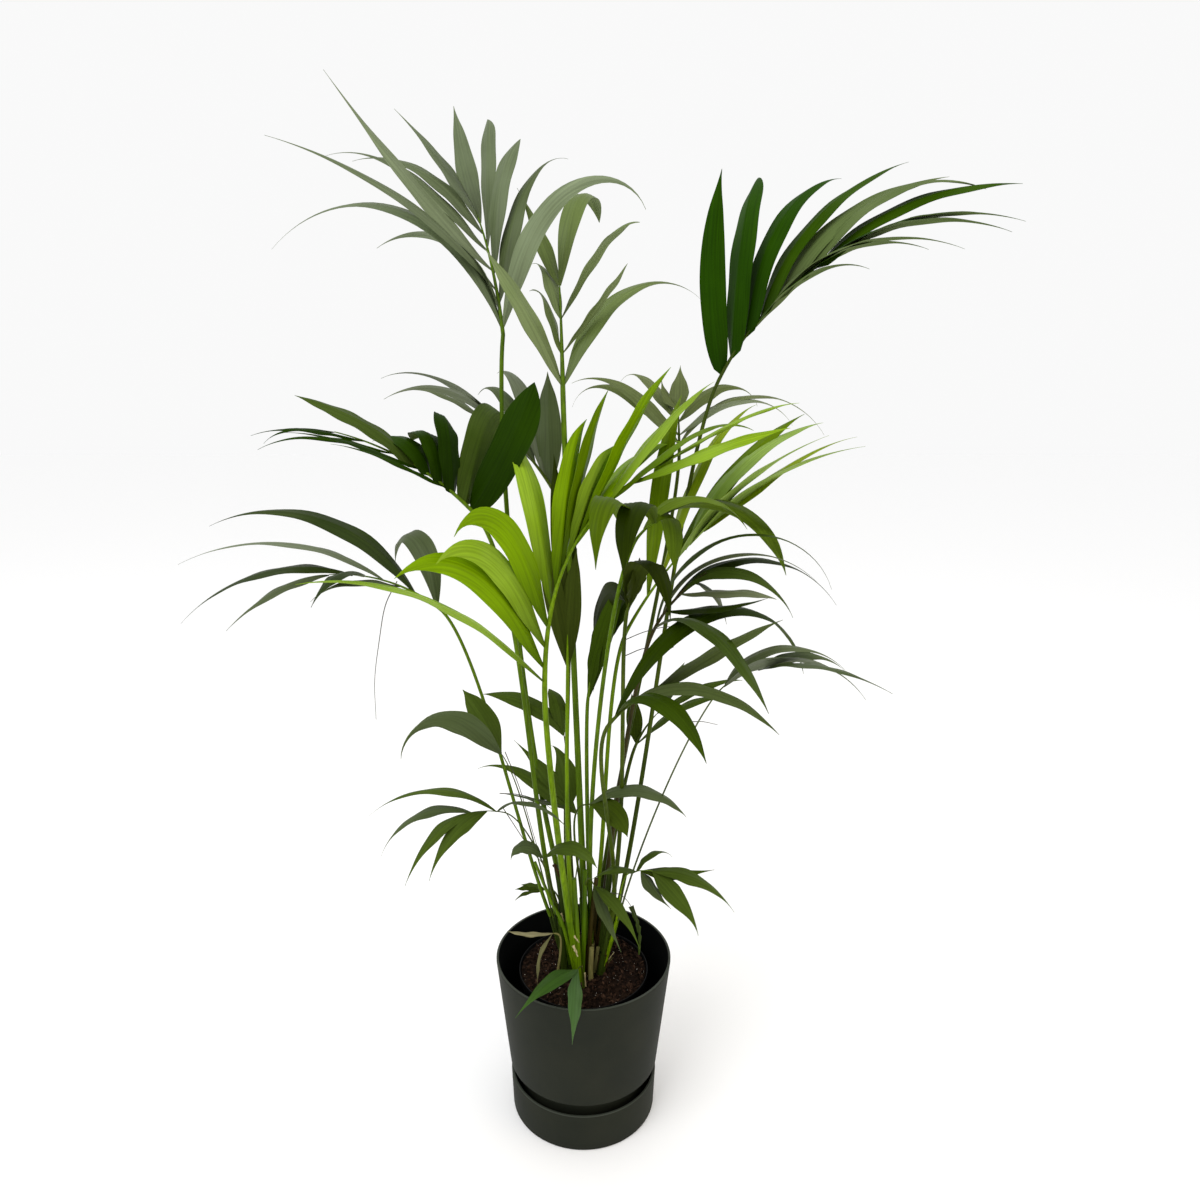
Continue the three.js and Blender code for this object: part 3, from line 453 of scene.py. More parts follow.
# A frond stands on one side of its stem's top, or on a foot of its own in the compost. Its rib
# begins at the crown, with a heading and a rise that falls along it. Leaflets stand along a span
# of the rib, and their rows of values run from the crown to the tip: their length, how far they
# spread from the rib and lift above it, how much they droop and how late that bend comes, their
# width and their roll. blunt and slim name the leaflets of another outline, and opening is how
# soon they widen at the foot. stalk makes the petiole thicker or thinner, cane and skin colour it.
fronds = {
    'tall_left': dict(
        stem='back', side=180, crown=[-100, 60, 1055], tone='greyGreen', width=30, bow=-40, stalk=1.15,
        skin='petioleGreen',
        rib=dict(heading=115, rise=74, fall=32, length=205),
        left=dict(slim=[0, 6], span=[0, 0.85], spread=[12, 14, 42, 44, 38, 36, 42],
            lift=[20, 55, 30, 10, 15, 30, 55], length=[440, 230, 310, 295, 245, 200, 160],
            droop=[110, 105, 45, -10, 65, 70, 25], bend=[1, 1, 0.8, 0.8, 2.4, 1.6, 0.6],
            roll=[5, -20, -15, -5, -10, 10, -30]),
        right=dict(blunt=[2, 3], slim=[0, 1], span=[0, 0.8], spread=[32, 20, 26, 22, 2],
            lift=[70, 55, 80, 75, 75], length=[295, 255, 190, 195, 195], droop=[140, 75, 55, 45, -20],
            bend=[2.2, 2.2, 2.4, 3, 1.6], roll=[25, -5, 20, 5, 30]),
    ),
    'tall_middle': dict(
        stem='middle', side=120, crown=[-25, 20, 985], tone='oliveGrey', width=30, stalk=1.4,
        cane='caneBright', skin='petioleGreen',
        rib=dict(heading=95, rise=74, fall=12, length=140),
        left=dict(slim=[1, 3], spread=[28, 10, 10, 18], lift=[35, 10, 10, 10],
            length=[180, 120, 115, 150], droop=[15, 80, 70, 10], bend=[1, 2.4, 2, 2.2],
            width=[30, 34, 24, 24], roll=[-5, -55, -20, -10]),
        right=dict(blunt=[1, 3], slim=[0, 0], spread=[22, 44, 74, 16], lift=[15, 30, 70, 60],
            length=[270, 130, 200, 210], droop=[100, 0, 55, 160], bend=[1.6, 1.8, 3.2, 2.8],
            width=[30, 18, 21, 30], roll=[-25, -85, -60, 45]),
    ),
    'tall_right': dict(
        stem='right', side=60, crown=[170, 60, 1000], tone='sheenGreen', width=32, cane='caneOlive',
        rib=dict(heading=5, rise=64, fall=38, length=228),
        left=dict(blunt=[1, 1], opening=0.42, span=[0, 0.8], spread=[38, 28, 28, 28, 24, 18, 16],
            lift=[85, 75, 80, 80, 80, 80, 80], length=[240, 265, 280, 310, 290, 295, 295],
            droop=[-20, 60, 75, 60, 60, 75, 50], bend=[1.2, 2.6, 1.6, 0.8, 0.8, 1.4, 0.8],
            width=[33, 46, 38, 34, 32, 32, 32], roll=[0, 50, 50, 55, 45, 60, 55]),
        right=dict(slim=[0, 4], span=[0.3, 0.95], spread=[4, 18, 10, 18, 22],
            lift=[-10, 75, 75, 55, 40], length=[175, 260, 185, 240, 215], droop=[75, 85, 70, 70, 60],
            bend=[2, 0.8, 1, 0.8, 0.8], roll=[-30, 60, 65, 40, 25]),
    ),
    'shoulder_left': dict(
        stem='left', side=85, crown=[-130, -20, 840], tone='deepGreen', width=38, stalk=1.1,
        cane='caneOlive', skin='petioleGreen',
        rib=dict(heading=180, rise=48, fall=34, length=195),
        left=dict(slim=[0, 4], span=[0.25, 1], spread=[32, 30, 32, 28, 20],
            lift=[-10, -10, -10, -5, -10], length=[150, 170, 160, 130, 85], droop=[20, 25, 45, 35, 60],
            bend=[2.2, 2.2, 2.2, 2, 2.2], width=[16, 20, 16, 20, 20], roll=[-5, -10, -5, -5, -5]),
        right=dict(blunt=[0, 3], opening=0.45, span=[0, 0.46], spread=[80, 62, 46, 48, 46, 26],
            lift=[85, 50, 80, 85, 85, 85], length=[170, 200, 125, 110, 105, 170],
            droop=[-15, 95, 120, 150, 110, 45], bend=[0.6, 3.2, 3.2, 2, 1, 0.6],
            width=[50, 44, 38, 38, 38, 38], roll=[-25, 20, 50, 55, 55, 70]),
    ),
    'side_left': dict(
        stem='left', side=175, crown=[-165, -80, 735], tone='shadeGreen', width=30, bow=-15, stalk=0.8,
        cane='caneOlive', skin='petioleGreen',
        rib=dict(heading=182, rise=42, fall=46, length=140),
        left=dict(slim=[0, 2], span=[0.4, 1], spread=[30, 64, 46], lift=[-10, 40, 25],
            length=[110, 105, 135], droop=[60, 90, 55], bend=[2.2, 0.8, 0.6], width=[16, 30, 30],
            roll=[0, 5, 20]),
        right=dict(slim=[1, 3], span=[0, 0.8], spread=[46, 30, 26, 18], lift=[80, 80, 85, 85],
            length=[175, 285, 255, 225], droop=[170, 85, 70, 70], bend=[1.6, 1, 0.8, 0.8],
            roll=[-5, 50, 85, 75]),
    ),
    'young_arching': dict(
        stem='front', side=250, crown=[-45, -110, 650], tone='youngGreen', width=36, stalk=1.4,
        cane='caneBright', skin='petioleYoung',
        rib=dict(heading=90, sweep=-80, rise=76, fall=48, length=320),
        left=dict(span=[0, 0.6], spread=[50, 44, 48, 48, 22, 16, 12, 12, 8],
            lift=[40, 60, 70, 80, 50, 80, 75, 85, 85],
            length=[315, 255, 220, 230, 265, 225, 240, 155, 255],
            droop=[55, 95, 105, 120, 85, 50, 20, 35, 15], bend=[1.6, 2.6, 3.2, 3.2, 3, 3.2, 3, 3, 3.2],
            roll=[-85, -5, 0, 15, -15, 5, -30, -15, -35]),
        right=dict(span=[0.55, 1], spread=[-2, -4, 10, 44, 26], lift=[5, 10, 10, 0, 15],
            length=[270, 285, 220, 210, 190], droop=[60, 25, 70, 15, 30],
            bend=[1.6, 2.6, 3.2, 2.8, 3.2]),
    ),
    'young_right': dict(
        stem='right_back', side=220, crown=[55, 0, 690], tone='fanGreen', width=31, cane='caneBrown',
        skin='petioleYoung',
        rib=dict(heading=20, rise=60, fall=22, length=170),
        left=dict(span=[0.3, 0.75], spread=[28, 20, 10, 22], lift=[60, 75, 50, 80],
            length=[300, 280, 290, 285], droop=[45, 55, 35, 60], bend=[2.4, 2.6, 1.6, 1],
            width=[25, 31, 25, 31], roll=[10, 75, 20, 65]),
        right=dict(slim=[0, 2], span=[0.65, 0.95], spread=[24, 18, 6], lift=[65, 60, 0],
            length=[245, 260, 240], droop=[45, 50, 30], bend=[0.8, 0.8, 2.2], width=[31],
            roll=[15, 20, -5]),
    ),
    'back_left': dict(
        stem='back', side=110, crown=[-40, 110, 855], tone='slateGreen', width=34, cane='caneBrown',
        rib=dict(heading=160, rise=58, fall=33, length=165),
        left=dict(slim=[0, 2], span=[0.3, 0.8], spread=[20, 44, 10], lift=[15, 30, 10],
            length=[240, 215, 150], droop=[75, 75, 60], bend=[2.6, 1.4, 2.2], width=[22, 25, 22],
            roll=[-35, 25, 15]),
        right=dict(span=[0, 0.4], spread=[30, 22, 20, 32], lift=[55, 45, 35, 60],
            length=[160, 215, 190, 120], droop=[0, 85, 100, 175], bend=[2.2, 3.2, 3, 2.8],
            width=[36, 26, 24, 20]),
    ),
    'back_right': dict(
        stem='right_back', side=90, crown=[130, 130, 910], tone='paleGreen', width=30, cane='caneOlive',
        rib=dict(heading=90, rise=70, fall=10, length=60),
        left=dict(slim=[0, 3], spread=[38, 44, 30, 36], lift=[5, -20, -35, -10],
            length=[190, 215, 165, 50], droop=[75, 105, 85, -45], bend=[2.4, 3.2, 3.2, 2.4],
            width=[20, 21, 21, 26], roll=[0, -20, -50, -45]),
        right=dict(slim=[0, 3], spread=[32, 48, 42, 4], lift=[15, 10, 15, 10],
            length=[270, 190, 145, 75], droop=[110, 100, 120, 25], bend=[1, 1.6, 2, 2],
            width=[21, 26, 26, 28], roll=[-35, -45, -20, 0]),
    ),
    'curled_front': dict(
        stem='middle', side=320, crown=[55, -100, 815], tone='oliveDark', width=32, skin='petioleGreen',
        rib=dict(heading=-45, rise=60, fall=35, length=45),
        left=dict(spread=[38, 42, 84], lift=[35, 65, 50], length=[270, 160, 130], droop=[130, 130, 170],
            bend=[0.8], roll=[-5, 0, -50]),
        right=dict(spread=[46, 56], lift=[0, 35], length=[235, 165], droop=[170], bend=[3.2, 1.6],
            roll=[-60, -5]),
    ),
    'curled_low': dict(
        stem='right', side=150, crown=[50, -90, 735], tone='darkGreen', width=32, cane='caneOlive',
        rib=dict(heading=-60, rise=75, fall=10, length=15),
        left=dict(spread=[74, -2], lift=[80, 20], length=[235, 60], droop=[160, -10], bend=[0.8, 1.6],
            roll=[10, 0]),
        right=dict(spread=[10], lift=[75], length=[190], droop=[160], bend=[1.2], roll=[50]),
    ),
    'side_right': dict(
        stem='right_back', side=310, crown=[85, -30, 695], tone='sideGreen', width=26, cane='caneBrown',
        skin='petioleBrown',
        rib=dict(heading=-20, rise=66, fall=30, length=105),
        left=dict(slim=[0, 4], span=[0.05, 0.8], spread=[20, 26, 20, 16, 78],
            lift=[85, 85, 35, 85, -15], length=[305, 240, 265, 165, 115],
            droop=[155, 130, 115, 130, 65], bend=[1.2, 0.8, 0.8, 0.8, 0.8], roll=[70, 65, -5, 60, -60]),
        right=dict(span=[0.05, 0.6], spread=[36, 48, 40], lift=[-20, -60, -65], length=[260, 145, 125],
            droop=[85, -10, 25], bend=[0.8, 2, 3.2], roll=[-55, -60, -65]),
    ),
    'slender_right': dict(
        stem='right', side=0, crown=[165, -60, 630], tone='slateGreen', width=22, stalk=0.42,
        cane='petioleGreen', skin='petioleGrey',
        rib=dict(heading=0, rise=50, fall=40, length=55),
        left=dict(slim=[0, 1], spread=[26, 24], lift=[85, 35], length=[180, 135], droop=[115, 65],
            bend=[0.8, 1.2], width=[22, 18], roll=[70, 0]),
        right=dict(slim=[0, 1], spread=[20, 60], lift=[30], length=[195, 210], droop=[105, 40],
            bend=[1.2, 0.8], roll=[-25, 10]),
    ),
    'low_right': dict(
        stem='right', side=240, crown=[30, -130, 615], tone='lowGreen', width=30, cane='caneOlive',
        rib=dict(heading=-10, rise=52, fall=20, length=60),
        left=dict(spread=[26], lift=[50], length=[385], droop=[140], bend=[1.2]),
        right=dict(span=[0.2, 1], spread=[30, 10, 4], lift=[65, 50, 85], length=[175, 185, 170],
            droop=[135, 95, 15], bend=[0.8, 0.8, 3.2], roll=[40, -5, 40]),
    ),
    'low_back': dict(
        stem='right_back', side=20, crown=[70, 60, 505], tone='smallGreen', width=20, cane='caneBrown',
        rib=dict(heading=30, rise=65, fall=30, length=60),
        left=dict(spread=[30, 20], lift=[40], length=[70, 90], droop=[10, 20], width=[23, 20],
            roll=[-10, 25]),
        right=dict(spread=[30, 20], lift=[0], length=[150, 130], droop=[50, 40], width=[20, 16],
            roll=[-25, 0]),
    ),
    'upright_front': dict(
        stem='front', side=70, crown=[-20, -20, 640], tone='darkGreen', width=26, cane='caneBright',
        skin='petioleYoung',
        rib=dict(heading=90, rise=85, fall=5, length=60),
        left=dict(spread=[10, 4], lift=[10], length=[190, 215], droop=[5]),
        right=dict(spread=[3, 0], lift=[10], length=[150, 150], droop=[10, 5]),
    ),
    'upright_middle': dict(
        stem='middle', side=50, crown=[5, -25, 600], tone='lowGreen', width=26, cane='caneBright',
        skin='petioleGreen',
        rib=dict(heading=30, rise=86, fall=26, length=80),
        left=dict(spread=[0], lift=[35], length=[140], droop=[35], bend=[2.8], roll=[30]),
        right=dict(spread=[6, 16], lift=[-10, 35], length=[175, 100], droop=[20, 25], bend=[1.6, 2.8],
            roll=[25, 35]),
    ),
}
smallLeaves = {
    'pair_left': dict(
        stem='left', side=250, crown=[-95, -90, 555], tone='smallGreen', width=34, stalk=0.6,
        cane='caneOlive',
        rib=dict(heading=170, rise=60, fall=10, length=12),
        left=dict(spread=[36], lift=[15], length=[190], droop=[140], bend=[2.8], roll=[-80]),
        right=dict(spread=[14], lift=[75], length=[90], droop=[25], bend=[1.6], roll=[30]),
    ),
    'pair_back': dict(
        stem='back', side=40, crown=[-25, 40, 525], tone='smallGreen', width=28,
        rib=dict(heading=120, rise=70, fall=10, length=12),
        left=dict(spread=[24], lift=[35], length=[130], droop=[70], bend=[0.8], roll=[15]),
        right=dict(spread=[10], lift=[85], length=[80], droop=[95], bend=[2.4], roll=[90]),
    ),
    'triple_left': dict(
        stem='back', side=330, crown=[-5, 15, 425], tone='smallGreen', width=28, stalk=0.55,
        cane='caneOlive', skin='petioleGrey',
        rib=dict(heading=168, rise=55, fall=10, length=20),
        left=dict(slim=[0, 1], spread=[12, 32], lift=[-55], length=[155, 100], droop=[70, 10],
            bend=[3.2, 2.4], width=[28, 34], roll=[-35, -80]),
        right=dict(slim=[0, 1], spread=[0, 38], lift=[5, 75], length=[130, 100], droop=[10, 100],
            bend=[3.2, 2.4], width=[28, 35], roll=[-55, 5]),
    ),
    'drooping_left': dict(
        stem='left', side=20, crown=[-100, -70, 475], tone='smallGreen', width=22, stalk=0.7,
        cane='caneBright',
        rib=dict(heading=180, rise=10, fall=20, length=40),
        left=dict(slim=[0, 2], spread=[112, 52, 58], lift=[70, 15, 30], length=[125, 120, 130],
            droop=[95, 80, 80], bend=[0.8, 1, 0.8], roll=[-40, 35, 25]),
        right=dict(slim=[0, 1], spread=[40, 34], lift=[85], length=[180, 150], droop=[90, 95],
            bend=[0.8], roll=[85, 75]),
    ),
    'pair_front': dict(
        stem='left', side=320, crown=[-50, -80, 415], tone='smallGreen', width=22,
        rib=dict(heading=-90, rise=60, fall=10, length=6),
        left=dict(spread=[34], lift=[25], length=[95], droop=[105], bend=[1.4], roll=[-45]),
        right=dict(spread=[48], lift=[50], length=[60], droop=[165], bend=[1.4], roll=[-50]),
    ),
    'pair_right': dict(
        stem='middle', side=190, crown=[0, -50, 475], tone='smallGreen', width=30,
        rib=dict(heading=0, rise=12, fall=20, length=20),
        left=dict(spread=[44], lift=[85], length=[145], droop=[105], bend=[0.8], roll=[75]),
        right=dict(spread=[34], lift=[40], length=[70], droop=[100], bend=[0.8], roll=[80]),
    ),
    'fan_right': dict(
        stem='right', side=300, crown=[60, -50, 380], tone='smallGreen', width=26, stalk=0.75,
        cane='petioleYoung', skin='petioleYoung',
        rib=dict(heading=0, rise=20, fall=30, length=30),
        left=dict(slim=[0, 2], spread=[62, 26, 16], lift=[85, -50, 70], length=[65, 105, 135],
            droop=[130, -15, 65], bend=[1.2, 1.4, 0.8], roll=[90, -60, 50]),
        right=dict(slim=[0, 2], spread=[112, 62, 38], lift=[70, -65, -55], length=[70, 60, 100],
            droop=[70, -20, 40], bend=[0.6, 1.4, 3], roll=[-55, -55, 0]),
    ),
    'hanging_middle': dict(
        stem='middle', side=255, crown=[10, -60, 375], tone='smallGreen', width=20,
        rib=dict(heading=-60, rise=-20, fall=10, length=10),
        left=dict(slim=[0, 0], spread=[34], lift=[65], length=[100], droop=[65], bend=[0.8], roll=[65]),
        right=dict(slim=[0, 0], spread=[8], lift=[-60], length=[90], droop=[-5], bend=[1.6],
            roll=[-75]),
    ),
    'over_rim': dict(
        foot=[0, -42], crown=[-5, -75, 260], tone='rimGreen', width=24,
        rib=dict(heading=-110, rise=8, fall=5, length=6),
        left=dict(slim=[0, 0], spread=[28], lift=[-55], length=[110], droop=[-20], bend=[1.8],
            roll=[-10]),
        right=dict(slim=[0, 0], spread=[32], lift=[50], length=[115], droop=[55], bend=[0.8],
            roll=[35]),
    ),
    'dried': dict(
        foot=[-36, -34], crown=[-35, -40, 285], tone='dried', width=8, skin='sheathTan',
        rib=dict(heading=180, rise=10, fall=5, length=6),
        left=dict(spread=[56], lift=[-60], length=[75], droop=[95], bend=[1.6], roll=[-50]),
        right=dict(spread=[34], lift=[-50], length=[70], droop=[-20], bend=[1.2], roll=[-65]),
    ),
    'small_back': dict(
        foot=[-22, 26], crown=[-45, 50, 295], tone='smallGreen', width=10,
        rib=dict(heading=180, rise=10, fall=10, length=10),
        left=dict(spread=[10], lift=[0], length=[50], droop=[60]),
        right=dict(spread=[20, 10], lift=[20], length=[40, 45], droop=[30]),
    ),
}


def heading(turn, rise):
    flat = math.cos(math.radians(rise))
    return Vector((math.cos(math.radians(turn)) * flat,
                   math.sin(math.radians(turn)) * flat,
                   math.sin(math.radians(rise))))


def along(values, t):
    place = t * (len(values) - 1)
    first = min(int(place), max(len(values) - 2, 0))
    following = min(first + 1, len(values) - 1)
    return values[first] + (values[following] - values[first]) * (place - first)


# A frond grows from its crown: a rib that sweeps and sags, and a petiole that bends up into it.
def ribWay(rib, s):
    return heading(rib['heading'] + rib.get('sweep', 0) * s, rib['rise'] - rib.get('fall', 0) * s)


def ribPath(frond, steps=24):
    rib = frond['rib']
    points = [Vector(frond['crown'])]
    for i in range(steps):
        points.append(points[-1] + ribWay(rib, (i + 0.5) / steps) * (rib['length'] / steps))
    return points


petioleCurve = dict(steps=26, rise=0.3, neck=0.15, neckBow=0.6)


def petiolePath(frond):
    crown = Vector(frond['crown'])
    if 'foot' in frond:
        foot = Vector((*frond['foot'], soilTop))
        way = up
    else:
        low, high = (Vector(place) for place in stems[frond['stem']])
        way = (high - low).normalized()
        foot = high + heading(frond['side'], 0) * petioleCircle
    reach = (crown - foot).length
    bow = Vector((frond.get('bow', 0), 0, 0))
    neck = ribWay(frond['rib'], 0) * reach * petioleCurve['neck']
    leaving = foot + way * reach * petioleCurve['rise'] + bow
    arriving = crown - neck + bow * petioleCurve['neckBow']
    points = []
    for i in range(petioleCurve['steps'] + 1):
        t = i / petioleCurve['steps']
        points.append(foot * (1 - t) ** 3 + leaving * 3 * t * (1 - t) ** 2
                      + arriving * 3 * t * t * (1 - t) + crown * t ** 3)
    return points


# A heap is loose parts that end up as one mesh: points in millimetres, faces, slots, leaf UVs.
def newHeap():
    return dict(points=[], faces=[], slots=[], spots=[])


def addGrid(heap, rows, slot, spots=None, closed=False):
    # rows of points side by side; a closed grid joins each row's last point to its first
    first = len(heap['points'])
    wide = len(rows[0])
    for row in rows:
        heap['points'].extend(row)
    for r in range(len(rows) - 1):
        for i in range(wide if closed else wide - 1):
            j = (i + 1) % wide
            near = first + r * wide
            far = near + wide
            heap['faces'].append((near + i, near + j, far + j, far + i))
            heap['slots'].append(slot)
    heap['spots'].extend(spots if spots else [(0, 0)] * (wide * len(rows)))
    return first


def addCap(heap, corners, slot):
    heap['faces'].append(tuple(corners))
    heap['slots'].append(slot)


def addLimb(heap, rows, slot, capped=True, turned=False):
    # a closed skin over rings of points, with an end at either side; turned rings run the other way
    first = addGrid(heap, rows, slot, closed=True)
    if capped:
        start = [first + k for k in range(len(rows[0]))]
        end = [corner + (len(rows) - 1) * len(rows[0]) for corner in start]
        addCap(heap, start if turned else start[::-1], slot)
        addCap(heap, end[::-1] if turned else end, slot)


def heapPiece(name, heap, smooth=True):
    mesh = bpy.data.meshes.new(name)
    mesh.from_pydata([tuple(point * mm) for point in heap['points']], [], heap['faces'])
    mesh.polygons.foreach_set('material_index', heap['slots'])
    uvs = mesh.uv_layers.new(name='leaf')
    corners = np.zeros(len(mesh.loops), dtype=np.int32)
    mesh.loops.foreach_get('vertex_index', corners)
    uvs.data.foreach_set('uv', np.array(heap['spots'], dtype=np.float32)[corners].ravel())
    piece = bpy.data.objects.new(name, mesh)
    bpy.context.collection.objects.link(piece)
    bpy.ops.object.select_all(action='DESELECT')
    piece.select_set(True)
    bpy.context.view_layer.objects.active = piece
    if smooth:
        bpy.ops.object.shade_smooth_by_angle(angle=math.radians(50))
    return piece


def finishStalks(name, heap, nodes, slotName, skins):
    finish(heapPiece(name, heap), nodes, slotName, *[stalks[skin] for skin in skins])


def tapered(start, end, count, power=1):
    return [start + (end - start) * (i / (count - 1)) ** power for i in range(count)]


def pathWay(points, i):
    return (points[min(i + 1, len(points) - 1)] - points[max(i - 1, 0)]).normalized()


def addTube(heap, points, radii, slot, sides=12, flute=0.0, capped=True):
    # a limb round a path; flute flattens and grooves its upper side as on a petiole
    across = Vector((1, 0, 0))
    rows = []
    for i, point in enumerate(points):
        way = pathWay(points, i)
        if i == 0 and abs(way.x) > 0.9:
            across = Vector((0, 1, 0))
        across = (across - way * across.dot(way)).normalized()
        over = way.cross(across)
        row = []
        for k in range(sides):
            angle = k / sides * 2 * math.pi
            radius = radii[i] * (1 - flute * max(0, math.sin(angle)) ** 3)
            row.append(point + across * (radius * math.cos(angle)) + over * (radius * math.sin(angle)))
        rows.append(row)
    addLimb(heap, rows, slot, capped)


# A leaflet's outline by kind: where along it is widest, how sharply it closes, and its drawn-out
# tip. Most end in a drip tip, blunt ones stay broad, and slim ones run out long.
outlines = {
    'plain': dict(widest=0.46, sharpness=1.9, tipFrom=0.80, tipNarrow=0.35),
    'blunt': dict(widest=0.6, sharpness=2.8, tipFrom=0.80, tipNarrow=0),
    'slim': dict(widest=0.36, sharpness=1.15, tipFrom=0.5, tipNarrow=0.62),
}
# Its body: folded down from the rib, pleated between the veins, and waved and twisted a little.
# The rib is a groove on top and a keel below. Leaflets keep a span of the frond's rib, and the
# first stands clear of the crown.
leaflet = dict(steps=30, span=(0.02, 1), nearest=8, bend=2.2, foot=0.12, leastHalf=0.25, thick=0.5,
               thinnest=0.4, foldFoot=38, foldMiddle=13, foldTip=20, foldFootEnd=0.3, foldTipFrom=0.6,
               flatten=0.85, pleat=0.35, pleats=3, wave=0.9, waves=(2.2, 3.8), fullWave=6.28,
               waveLag=(-2, 2), twist=10, ribWidth=0.06, ribGroove=0.35, ribKeel=1.1, keelFade=0.6)
halfColumns = (0.045, 0.14, 0.30, 0.48, 0.66, 0.84, 1)
columns = [-u for u in reversed(halfColumns)] + [0] + list(halfColumns)


def halfWidth(plan, t):
    kind = outlines[plan['kind']]
    if t < kind['widest']:
        opening = math.sin(math.pi / 2 * (t / kind['widest']) ** plan['opening'])
        share = leaflet['foot'] + (1 - leaflet['foot']) * opening
    else:
        share = 1 - ((t - kind['widest']) / (1 - kind['widest'])) ** kind['sharpness']
    late = min(max((t - kind['tipFrom']) / (1 - kind['tipFrom']), 0), 1)
    share *= 1 - kind['tipNarrow'] * late * late * (3 - 2 * late)
    return max(plan['width'] / 2 * share, leaflet['leastHalf'])


def outlineKind(side, i):
    for kind in ('blunt', 'slim'):
        first, last = side.get(kind, (1, 0))
        if first <= i <= last:
            return kind
    return 'plain'


def leafletPlans(frond, side, sign):
    stations = ribPath(frond)
    rib = frond['rib']
    steps = len(stations) - 1
    count = len(side['length'])
    first, last = side.get('span', leaflet['span'])
    plans = []
    for i in range(count):
        t = i / (count - 1) if count > 1 else 0
        s = max(first + (last - first) * t, min(1, leaflet['nearest'] / rib['length']))
        near = min(int(s * steps), steps - 1)
        way = ribWay(rib, s)
        across = heading(rib['heading'] + rib.get('sweep', 0) * s, 0).cross(up).normalized()
        above = across.cross(way)
        spread = math.radians(along(side['spread'], t))
        lift = math.radians(along(side['lift'], t))
        outward = across * (sign * math.cos(lift)) + above * math.sin(lift)
        start = way * math.cos(spread) + outward * math.sin(spread)
        face = (outward.cross(way) * sign).normalized()
        roll = math.radians(along(side.get('roll', [0]), t)) * sign
        plans.append(dict(
            root=stations[near].lerp(stations[near + 1], s * steps - near),
            start=start, face=Quaternion(start, roll) @ face, length=side['length'][i],
            droop=along(side['droop'], t), bend=along(side.get('bend', [leaflet['bend']]), t),
            width=along(side.get('width', [frond['width']]), t),
            kind=outlineKind(side, i), opening=side.get('opening', 1),
        ))
    return plans


def foldAngle(t):
    fold = leaflet['foldMiddle']
    footEnd = leaflet['foldFootEnd']
    tipFrom = leaflet['foldTipFrom']
    if t < footEnd:
        fold += (leaflet['foldFoot'] - fold) * (1 - t / footEnd) ** 2
    elif t > tipFrom:
        fold += (leaflet['foldTip'] - fold) * (t - tipFrom) / (1 - tipFrom)
    return math.radians(fold)


def addLeaflet(heap, plan, topSlot, underSlot):
    axis = plan['start'].cross(down).normalized()
    most = max(plan['start'].angle(down) - 0.05, 0)  # it never droops past hanging straight down
    steps = leaflet['steps']
    twist = math.radians(rng.uniform(-1, 1) * leaflet['twist'])
    phase = rng.uniform(0, leaflet['fullWave'])
    waves = rng.uniform(*leaflet['waves']) * leaflet['fullWave']
    lag = rng.uniform(*leaflet['waveLag'])
    point = plan['root'].copy()
    tops = []
    unders = []
    spots = []
    for step in range(steps + 1):
        t = step / steps
        bent = Quaternion(axis, min(math.radians(plan['droop']) * t ** plan['bend'], most))
        way = bent @ plan['start']
        face = Quaternion(way, twist * t * t) @ (bent @ plan['face'])
        across = way.cross(face).normalized()
        half = halfWidth(plan, t)
        fold = foldAngle(t)
        shrink = half / (plan['width'] / 2)
        thick = leaflet['thick'] * (leaflet['thinnest'] + (1 - leaflet['thinnest']) * shrink)
        top = []
        under = []
        for u in columns:
            out = abs(u)
            pleat = leaflet['pleat'] * math.cos(out * leaflet['pleats'] * 2 * math.pi) * min(out * 4, 1)
            wave = leaflet['wave'] * out * out * math.sin(waves * t + phase + lag * u)
            rise = shrink * (pleat + wave) - out * half * math.sin(fold)
            centre = point + across * (u * half * math.cos(fold * leaflet['flatten'])) + face * rise
            rib = math.exp(-(u / leaflet['ribWidth']) ** 2)
            keel = leaflet['ribKeel'] * rib * (1 - leaflet['keelFade'] * t)
            top.append(centre + face * (thick * (0.5 - leaflet['ribGroove'] * rib)))
            under.append(centre - face * (thick * (0.5 + keel)))
            spots.append((u * half, t * plan['length']))
        tops.append(top)
        unders.append(under)
        middle = min(t + 0.5 / steps, 1)
        bent = Quaternion(axis, min(math.radians(plan['droop']) * middle ** plan['bend'], most))
        point = point + (bent @ plan['start']) * (plan['length'] / steps)
    wide = len(columns)
    topFirst = addGrid(heap, tops, topSlot, spots)
    underFirst = addGrid(heap, [row[::-1] for row in unders], underSlot,
                         [spots[r * wide + wide - 1 - i] for r in range(steps + 1) for i in range(wide)])
    for step in range(steps):
        for edgeTop, edgeUnder in ((0, wide - 1), (wide - 1, 0)):
            a = topFirst + step * wide + edgeTop
            b = underFirst + step * wide + edgeUnder
            addCap(heap, (a, b, b + wide, a + wide) if edgeTop else (a, a + wide, b + wide, b), topSlot)
    for ring, turned in ((0, False), (steps, True)):
        row = [first + ring * wide + i for first in (topFirst, underFirst) for i in range(wide)]
        addCap(heap, row if turned else row[::-1], topSlot)


rng = random.Random(41)

